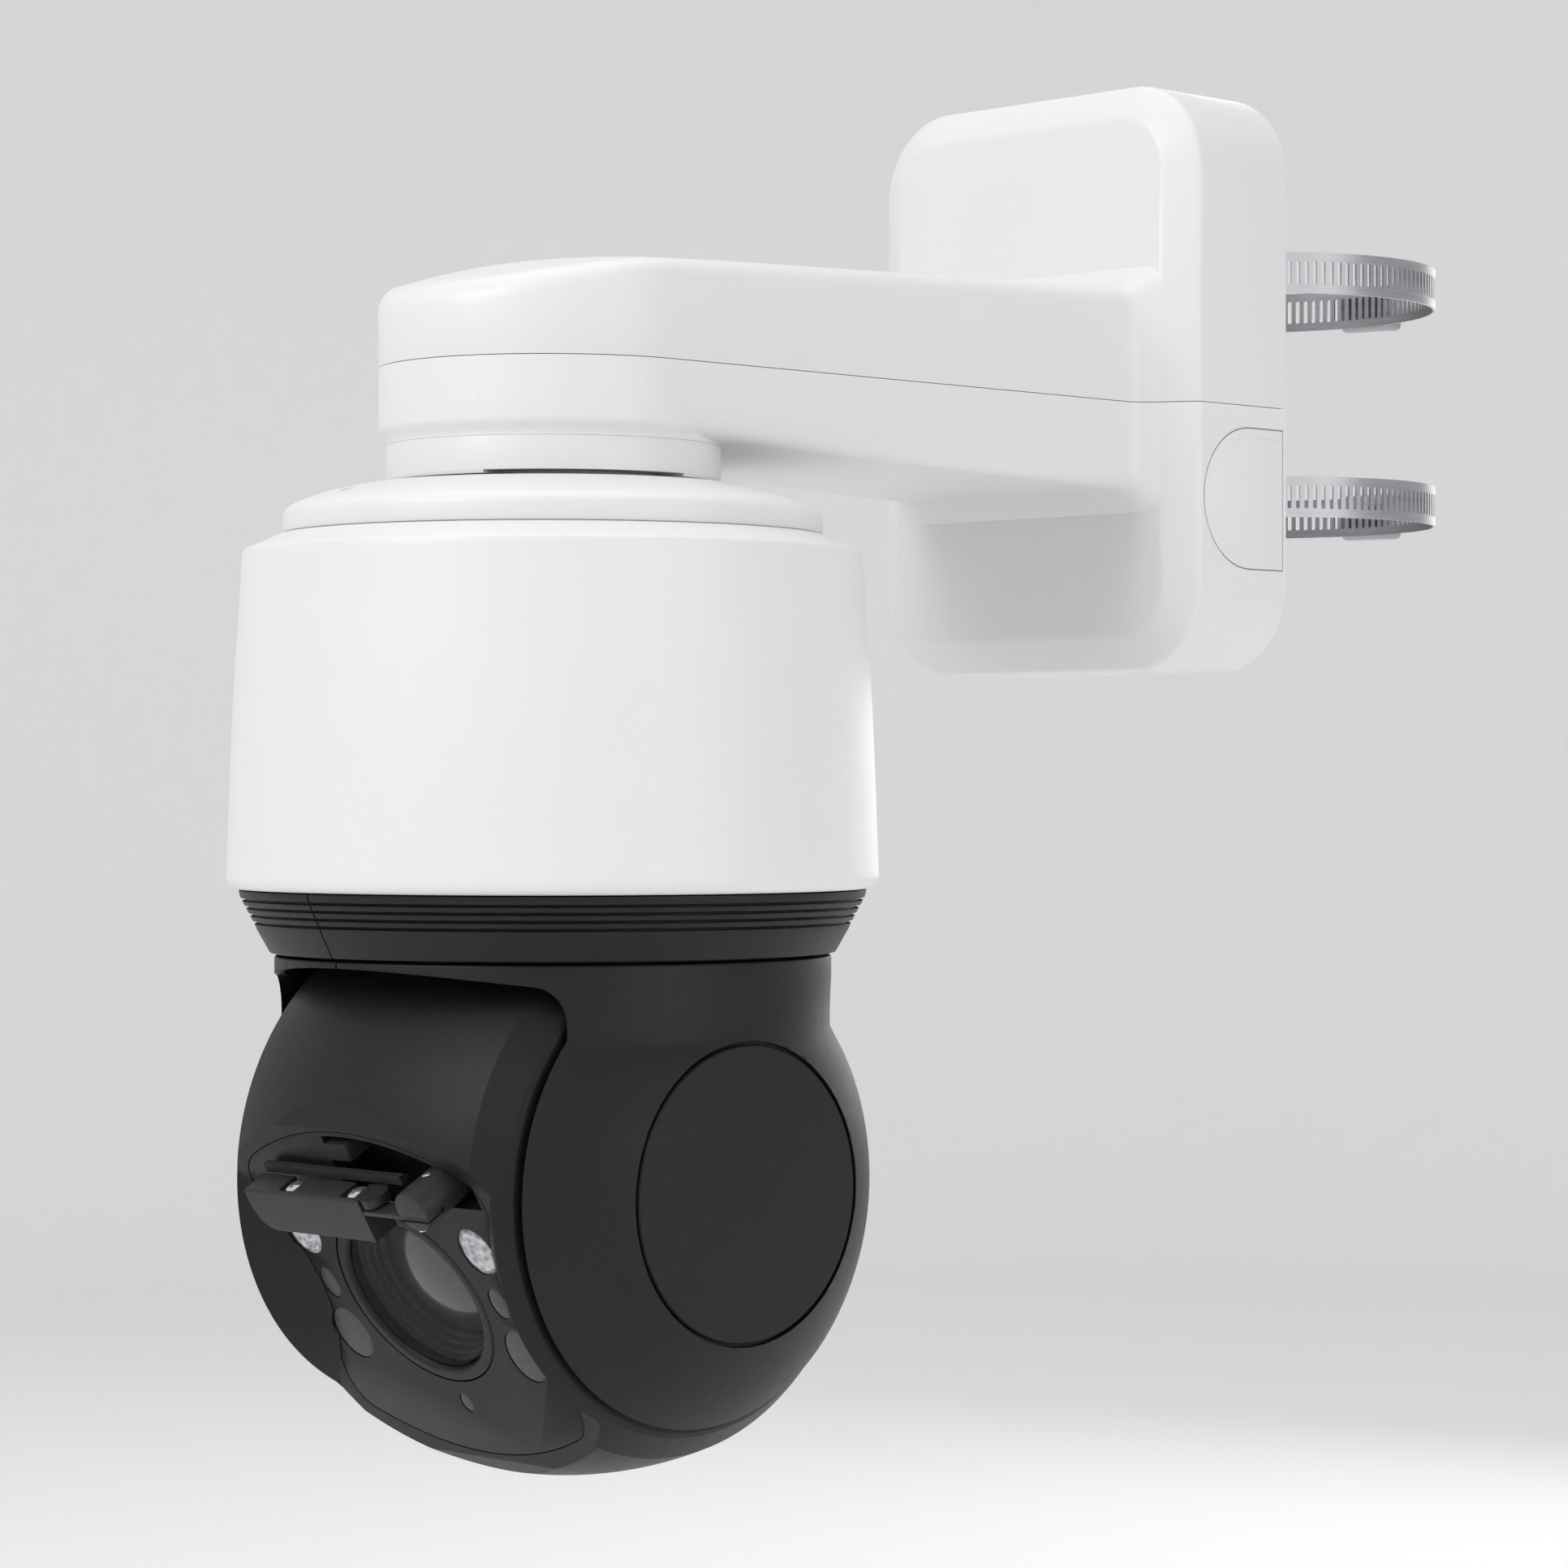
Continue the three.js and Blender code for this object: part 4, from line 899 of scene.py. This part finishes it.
# %% Blade holder, rubber and screws
HOLDER_L, HOLDER_R, HOLDER_LOW, HOLDER_HIGH = -39.5, 14.5, 30.2, 44.6
HOLDER_FRONT, HOLDER_BACK = 13.0, 3.8
holder_section = soften([(HOLDER_LOW, HOLDER_FRONT), (HOLDER_HIGH, HOLDER_FRONT), (HOLDER_HIGH, HOLDER_BACK),
                         (HOLDER_HIGH - 1.6, HOLDER_BACK), (HOLDER_HIGH - 1.6, HOLDER_FRONT - 1.6),
                         (HOLDER_LOW, HOLDER_FRONT - 1.6)], [0.5, 0.9, 0.4, 0.4, 0.8, 0.5], 5)


def along_wiper(section, x0, x1, steps=2, taper=None):
    """Carries a section of (s, height above the face) along x; taper narrows s towards its ends."""
    rings = []
    for x in np.linspace(x0, x1, steps):
        s, h = section[:, 0], section[:, 1] + FACE_H
        if taper is not None:
            s = np.maximum(s, taper(x))
        rings.append(np.column_stack([np.full(len(section), x), s, h]))
    return stacked(rings)


def holder_foot(x):
    """The cover's lower edge: it rises in a quarter round towards its left end."""
    near = np.clip((HOLDER_L + 9.0 - x) / 9.0, 0.0, 1.0)
    return HOLDER_LOW + 9.0 * (1 - math.sqrt(1 - near**2))


cover_skin = along_wiper(holder_section, HOLDER_L, HOLDER_R, 40, holder_foot)
cover = raw_object("blade_cover", cover_skin, on_face)
END_H = (FACE_H + HOLDER_BACK, FACE_H + HOLDER_FRONT)
end_plate = block((HOLDER_R - 1.6, HOLDER_R), (HOLDER_LOW, HOLDER_HIGH), END_H)
carve(cover, raw_object("end_plate", end_plate, on_face), operation="UNION")


def about_s(x, h, s=0.0, way=1):
    """Carries a turned shape so that its axis runs up the face (way 1) or down it (way -1) from s,
    at x and at h above the face."""
    def carry(p):
        return on_face(np.column_stack([p[:, 0] + x, s + way * p[:, 2], p[:, 1] + FACE_H + h]))
    return carry


nose = rod(4.6, 41.7, HOLDER_HIGH, segments=48)
carve(cover, raw_object("nose", nose, about_s(16.8, 8.0)), operation="UNION")
SCREWS = ((-24.4, -17.6, -20.2), (4.6, 11.2, 8.9))  # pocket from, pocket to, screw, along x
for left, right, _ in SCREWS:
    pocket = block((left, right), (42.0, 46.0), (FACE_H + 2.0, FACE_H + 11.3))
    carve(cover, raw_object("screw_pocket", pocket, on_face))
finished(round_edges(cover, 0.3, 2, 40.0), WIPER_GREY, "wiper", "blade_holder")
carrier = block((-36.0, 12.4), (41.3, 42.9), (FACE_H + 4.2, FACE_H + 11.2))
finished(raw_object("blade_carrier", carrier, on_face), BLACK, "wiper")

blade_section = soften([(46.0, 0.4), (46.8, 0.4), (47.0, 1.4), (48.0, 1.8), (48.0, 2.5), (47.4, 2.8),
                        (48.0, 3.1), (48.0, 3.7), (44.9, 3.7), (44.9, 1.8), (45.8, 1.4)], 0.2, 3)
piece("rubber_blade", along_wiper(blade_section, -38.0, 26.0), RUBBER, "wiper", "wiper_blade",
      place=on_face)


def cross_head(name, radius, height, place, material, body):
    """A pan-head screw along the third coordinate: a domed head with a cross cut into it, whose
    arms are 0.58 and 0.14 of the radius."""
    dome_r = np.linspace(0.0, radius, 12)
    top = np.column_stack([dome_r, height - 0.35 * height * (dome_r / radius) ** 2])
    head = raw_object(name, turned(np.vstack([top, [(radius, 0.0), (0.0, 0.0)]]), "z", 48), place)
    arm, wide = radius * 0.58, radius * 0.14
    for x, y in ((arm, wide), (wide, arm)):
        carve(head, raw_object("cross", block((-x, x), (-y, y), (height * 0.45, height * 2)), place))
    return finished(head, material, body)


for i, (_, _, x) in enumerate(SCREWS):
    cross_head(f"cover_screw_{i + 1}", 3.1, 2.0, about_s(x, 7.9, 42.9), CHROME, "wiper")


for label, side, depth in (("upper", 1, 10.4), ("lower", -1, 1.6)):
    spot = about_s(HUB_X, HUB_TOP - depth - FACE_H, HUB_S + side * (HUB_R - 0.5), side)
    cross_head(f"hub_set_screw_{label}", 1.5, 0.9, spot, CHROME, "wiper")

# %% [markdown]
# ## Bracket
#
# The arm and wall box are two castings that meet on one level joint. The arm is a straight bar with
# a round tip: rings of its plan outline, set in by a quarter round at top and bottom, follow a top
# that rises and an underside that falls towards the box, where both flare into a fillet.

# %% Arm as rings of its plan outline
BOX_FRONT_Y = -51.8
REACH = -camera_origin[1]
ARM_HALF, ARM_EDGE, ROOT_FILLET = 54.0, 7.0, 10.0
ARM_TOP, TOP_SLOPE, RIDGE_T, TIP_SLOPE = 23.8, 0.0355, -12.0, 0.206
ARM_UNDER, UNDER_SLOPE = -29.5, 0.034
T_FRONT = REACH + BOX_FRONT_Y  # t runs from the pan axis towards the box


def flare(t):
    """A fillet of radius R where the arm meets the box: R - sqrt(R^2 - d^2), d into the last R mm."""
    d = np.clip(t - (T_FRONT - ROOT_FILLET), 0.0, ROOT_FILLET)
    return ROOT_FILLET - np.sqrt(ROOT_FILLET**2 - d**2)


def arm_top(t):
    """The lower of two slopes that cross at the tip's ridge: with g their difference, the crossing
    is softened as fall + (g - sqrt(g^2 + 3)) / 2 where g is within 6 mm."""
    rise = ARM_TOP + TOP_SLOPE * t
    fall = ARM_TOP + TOP_SLOPE * RIDGE_T + TIP_SLOPE * (t - RIDGE_T)
    gap = rise - fall
    soft = fall + (gap - np.sqrt(gap**2 + 3.0)) / 2
    return np.where(gap > 6, fall, np.where(gap < -6, rise, soft))


def arm_outline(inset):
    """Plan: down one side, round the tip, and back, all set in by the same amount."""
    half = ARM_HALF - inset
    t = np.linspace(T_FRONT + 3.0, 2.0, 60)
    widen = flare(np.minimum(t, T_FRONT))
    right = np.column_stack([half + widen, t])
    tip = arc_points(half, 0.0, -180.0, 61)
    return np.vstack([right, tip, (right * [-1, 1])[::-1]])


def arm_rings():
    """The plan at each step of a quarter round: up from the underside, and up to the top."""
    angles = np.radians(np.linspace(0.0, 90.0, 8))
    low, high = [], []
    for a in angles:
        inset, drop_by = ARM_EDGE * (1 - math.sin(a)), ARM_EDGE * (1 - math.cos(a))
        plan = arm_outline(inset)
        t = plan[:, 1]
        under = ARM_UNDER - UNDER_SLOPE * t - flare(np.minimum(t, T_FRONT)) + drop_by
        over = arm_top(t) + flare(np.minimum(t, T_FRONT)) - drop_by
        low.append(np.column_stack([plan[:, 0], t - REACH, under]))
        high.append(np.column_stack([plan[:, 0], t - REACH, over]))
    return low, high[::-1]


CROWN = 2.6  # the arm's top is this much higher along its middle, near the tip
CROWN_START, CROWN_END = -52.0, 70.0
ROWS = 25


def filled_across(plan, crown):
    """Rows from one side of the plan to the other: a straight blend plus crown (1 - (2v-1)^2)."""
    half = len(plan) // 2 + 1
    right, left = plan[:half], plan[::-1][:half]
    v = np.linspace(0.0, 1.0, ROWS)[None, :, None]
    rows = right[:, None] * (1 - v) + left[:, None] * v
    t = right[:, 1] + REACH
    swell = crown * np.clip((t - CROWN_START) / 30.0, 0, 1) * np.clip((CROWN_END - t) / 60.0, 0, 1)
    rows[:, :, 2] += swell[:, None] * (1 - (2 * v[:, :, 0] - 1) ** 2)
    return rows.reshape(-1, 3), grid_faces(half, ROWS)


def arm_surface():
    """Side rings joined in a stack, the top and underside filled across, and the end shut."""
    low, high = arm_rings()
    points, faces = stacked(low + high, cap=False)
    n, rings = len(low[0]), 2 * len(low)
    faces = [face for face in faces if not {f % n for f in face} == {0, n - 1}]
    end = [ring * n for ring in range(rings)] + [ring * n + n - 1 for ring in reversed(range(rings))]
    top, under = filled_across(high[-1], CROWN), filled_across(low[0], 0.0)
    under_row = np.linspace(low[0][-1], low[0][0], ROWS)
    shut = np.vstack([points[end[:rings]], top[0][1:ROWS - 1], points[end[rings:]], under_row[1:-1]])
    return joined([(points, faces), under, top, (shut, [list(range(len(shut)))])])


# %% Wall box with its chamfered front
BOX_X, BOX_Z, BOX_RISE, BOX_CORNER = 72.2, 98.6, 1.9, 29.0


def rounded_box(inset, y):
    """A rectangle with quarter-round corners, set in all round."""
    r = max(BOX_CORNER - inset, 6.0)
    hx, hz = BOX_X - inset, BOX_Z - inset
    signs = ((1, 1), (-1, 1), (-1, -1), (1, -1))
    ring = np.vstack([arc_points(r, 90 * i, 90 * i + 90, 17, (x * (hx - r), z * (hz - r)))
                      for i, (x, z) in enumerate(signs)])
    return np.column_stack([ring[:, 0], np.full(len(ring), y), ring[:, 1] + BOX_RISE])


box_profile = soften([(0.0, 0.0), (0.0, -45.3), (11.3, BOX_FRONT_Y), (30.0, BOX_FRONT_Y)],
                     [0.0, 1.6, 1.6, 0.0], 5, closed=False)
box = raw_object("wall_box", stacked([rounded_box(i, y) for i, y in box_profile]))
arm = raw_object("arm", arm_surface())
carve(box, arm, operation="UNION")
fall = np.radians(np.linspace(0.0, 180.0, 13))
boss_wall = np.column_stack([52.85 + 1.15 * np.cos(fall), -26.0 - 5.0 * fall / np.pi])
boss_profile = np.vstack([[(0.0, -20.0), (ARM_HALF, -20.0)], boss_wall, [(51.7, -31.2), (0.0, -31.2)]])
boss = raw_object("boss", turned(boss_profile, segments=144), at_tip)
carve(box, boss, operation="UNION")
hollow = raw_object("hollow", stacked([rounded_box(5.8, 2.0), rounded_box(5.8, -40.0)]))
throat = raw_object("throat", block((-30, 30), (-REACH, -38), (-16, 12)))
well = raw_object("collar_well", rod(44.6, -60.0, -14.0, "z", 96), at_tip)
carve(box, hollow, throat, well)
print("bracket casting:", len(box.data.polygons), "faces")


# %% D-shaped covers and the level joint
def entry_outline(grow):
    """A straight back edge and a half-round front, in (y, z)."""
    half = 23.6 + grow
    front = arc_points(half, -90.0, -270.0, 41, (-17.4, 0.0))
    return np.vstack([[(grow, half), (grow, -half)], front]) + [-2.0, -38.8]


def upright(outline, near, far):
    """A slab of an outline in (y, z), between two values of x."""
    return reordered(slab(outline, near, far), [2, 0, 1])


for side in (1, -1):
    edges = sorted((side * 70.9, side * 80.0))
    carve(box, raw_object("entry", upright(entry_outline(0.45), *edges)))
cover_plate = raw_object("entry_cover_right_plate", upright(entry_outline(0.0), 71.0, 72.35))
raised = raw_object("raised", upright(entry_outline(-3.2), 72.0, 72.8))
carve(cover_plate, raised, operation="UNION")
round_edges(cover_plate, 0.3, 2, 40.0)
cover_left = mirrored(cover_plate, "entry_cover_left_plate")
finished(cover_plate, WHITE, "root", "cable_entry_cover_right")
finished(cover_left, WHITE, "root", "cable_entry_cover_left")

PART_Z, PART_GAP = -7.5, 0.12  # the castings meet at this height, each short of it by the gap
lower = duplicate(box, "bracket_lower_casting")
box.name = "bracket_upper_cover"
carve(box, raw_object("under", block((-200, 200), (-420, 60), (-200, PART_Z + PART_GAP))))
carve(lower, raw_object("over", block((-200, 200), (-420, 60), (PART_Z - PART_GAP, 200))))
finished(round_edges(box, 0.15, 2, 50.0), WHITE, "root", "bracket_cover")
finished(round_edges(lower, 0.15, 2, 50.0), WHITE, "root", "bracket_body")

# %% [markdown]
# ## Bands
#
# A worm-drive band is a strip punched with upright slots. One cell of the strip, a rectangle with a
# rounded slot in it, is repeated along the loop by arc length; a Solidify modifier gives the gauge.

# %% Punched strip
BAND_HALF, SLOT_HALF, SLOT_WIDE = 7.1, 4.2, 0.75
POLE_R, GAUGE, SLOT_X, SLOT_Y = 67.0, 0.9, 34.0, -5.3
PITCH, CORNERS = 3.1, 12


def band_loop(steps=720):
    """Across behind the plate, out on a tangent, round the pole and back: points and arc length."""
    r = POLE_R + 0.35
    far = math.hypot(SLOT_X, POLE_R - SLOT_Y)
    leave = math.degrees(math.acos(r / far) + math.atan2(SLOT_X, POLE_R - SLOT_Y))
    round_pole = arc_points(r, leave - 90.0, 270.0 - leave, steps, (0.0, POLE_R))
    path = np.vstack([[(-SLOT_X, SLOT_Y), (SLOT_X, SLOT_Y)], round_pole, [(-SLOT_X, SLOT_Y)]])
    length = np.concatenate([[0.0], np.cumsum(np.linalg.norm(np.diff(path, axis=0), axis=1))])
    return path, length


def punched_band(z):
    """The strip at one height: each cell is a ring of quads from the slot's outline to its rim."""
    path, length = band_loop()
    cells = int(length[-1] / PITCH)
    pitch = length[-1] / cells
    a = np.linspace(0.0, 2 * np.pi, CORNERS, endpoint=False) + np.pi / CORNERS
    c, s = np.cos(a), np.sin(a)
    hole = np.column_stack([SLOT_WIDE * c, SLOT_WIDE * s + np.sign(s) * (SLOT_HALF - SLOT_WIDE)])
    rim = np.column_stack([np.clip(c * 2, -1, 1) * pitch / 2, np.clip(s * 2, -1, 1) * BAND_HALF])
    cell = np.vstack([hole, rim])
    along = (np.arange(cells)[:, None] + 0.5) * pitch + cell[None, :, 0]
    x = np.interp(along % length[-1], length, path[:, 0])
    y = np.interp(along % length[-1], length, path[:, 1])
    height = np.broadcast_to(cell[None, :, 1] + z, along.shape)
    points = np.stack([x, y, height], -1).reshape(-1, 3)
    follows = [(i + 1) % CORNERS for i in range(CORNERS)]
    ring = [[i, j, CORNERS + j, CORNERS + i] for i, j in enumerate(follows)]
    faces = [[2 * CORNERS * k + i for i in quad] for k in range(cells) for quad in ring]
    return points, faces


# %% Strips, worm housings and worm screws
HOUSE_Y = 2 * POLE_R + 1.3
WORM_Y = HOUSE_Y + 5.6
THREAD_PITCH = 2.0
thread_x = np.linspace(-13.0, 12.0, 76)
thread = np.column_stack([3.5 + 0.3 * np.cos(2 * np.pi * thread_x / THREAD_PITCH), thread_x])
worm_head = [(5.2, 12.0), (5.4, 12.6), (5.4, 17.0), (4.8, 17.8), (0.0, 17.8), (0.0, -13.0)]
for name in ("upper", "lower"):
    low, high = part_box(f"band_{name}")
    z = (low[2] + high[2]) / 2 / MM
    at_worm = moved(0.0, WORM_Y, z)
    strip = raw_object(f"pole_band_{name}", punched_band(z))
    gauge = strip.modifiers.new("gauge", "SOLIDIFY")
    gauge.thickness = GAUGE * MM
    gauge.offset = 0.0
    bake(strip)
    set_outwards(strip.data)
    finished(strip, STEEL, "root", f"band_{name}")
    shell = block((-11, 11), (HOUSE_Y - 0.4, HOUSE_Y + 10.6), (z - 8.4, z + 8.4))
    house = round_edges(raw_object(f"band_house_{name}", shell), 2.4, 4)
    carve(house, raw_object("worm_way", rod(4.2, -20.0, 20.0, "x", 40), at_worm))
    finished(house, STEEL, "root")
    worm = raw_object(f"worm_screw_{name}", turned(np.vstack([thread, worm_head]), "x", 36), at_worm)
    drive_slot = block((15.8, 20), (HOUSE_Y - 2, HOUSE_Y + 14), (z - 0.6, z + 0.6))
    carve(worm, raw_object("drive_slot", drive_slot))
    finished(worm, CHROME, "root", f"band_screw_{name}")

# %% [markdown]
# ## The remaining nodes
#
# The nodes that stay as they are, mostly inside the casings, still need their real finishes: each
# record slot is mapped to one of the finishes above.

# %% Finishes for the nodes that stay
FINISH_OF_SLOT = {"white_paint": WHITE, "aluminium": CAST, "steel": STEEL, "charcoal_plastic": CHARCOAL,
                  "black_plastic": BLACK, "rubber": RUBBER, "face_glass": PLATE, "clear_lens": COATED,
                  "nylon": NYLON, "circuit_board": BOARD}
slots = {part["node"]: part["material_slot"] for part in frame["record"]["subparts"]}
for name, node in frame["nodes"].items():
    node.data.materials.clear()
    node.data.materials.append(FINISH_OF_SLOT[slots[name]])
print(len(slots), "nodes finished")

# %% [markdown]
# ## Studio
#
# A pale floor that curves up all round like a shallow bowl, so there is no horizon from any side,
# a broad key light from the upper left, weaker ones from the right, above and behind, and a soft sky.

# %% Floor
FLOOR_DROP, FLAT_R, BEND_R = 260.0, 2600.0, 900.0
floor_z = cad_box[0][2] / MM - FLOOR_DROP
rise = arc_points(BEND_R, -90.0, 0.0, 24, (FLAT_R, floor_z + BEND_R))
bowl_profile = np.vstack([[(0.0, floor_z)], rise, [(FLAT_R + BEND_R, floor_z + 3200.0)]])
a = np.radians(np.linspace(0.0, 360.0, 97)[:-1])
bowl_points = AXES["z"](bowl_profile[None, :, 0], bowl_profile[None, :, 1], a[:, None])
bowl_faces = grid_faces(len(a), len(bowl_profile), wrap_rows=True)
bowl = raw_object("floor", (bowl_points.reshape(-1, 3), bowl_faces))
floor_paint = Graph("pale_floor", Roughness=0.9, Specular_IOR_Level=0.1)
floor_tone = floor_paint.noise(0.8, 2.0)
floor_paint.set("Base Color", floor_paint.blend_colour(floor_tone, (0.90, 0.90, 0.90), (0.93, 0.93, 0.93)))
bowl.data.materials.append(floor_paint.material)
bowl.data.polygons.foreach_set("use_smooth", np.ones(len(bowl.data.polygons), bool))
print("floor at", round(floor_z), "mm")

# %% Lights and sky
STUDIO_LIGHTS = (  # name; metres from the camera towards the eye, left and up; size in metres; watts
    ("key", 1.1, 1.3, 1.1, 1.1, 17.0),
    ("fill", 1.2, -1.4, 0.2, 1.2, 6.0),
    ("top", -0.2, 0.0, 1.8, 1.6, 10.0),
    ("rim", -1.5, -0.8, 0.4, 1.0, 5.0),
)
middle = Vector(camera_origin * MM)
for name, near, left, above, size, power in STUDIO_LIGHTS:
    data = bpy.data.lights.new(name, "AREA")
    data.size = size
    data.energy = power
    lamp = linked(name, data)
    away = Vector(-forward) * near + Vector(-across) * left + Vector((0.0, 0.0, above))
    lamp.location = middle + away
    lamp.rotation_euler = (-away).to_track_quat("-Z", "Y").to_euler()
sky = bpy.data.worlds.new("sky")
sky.use_nodes = True
sky.node_tree.nodes["Background"].inputs["Color"].default_value = (0.95, 0.97, 1.0, 1.0)
sky.node_tree.nodes["Background"].inputs["Strength"].default_value = 0.66
bpy.context.scene.world = sky
bpy.context.scene.view_settings.view_transform = "Standard"
print(len(STUDIO_LIGHTS), "lights")
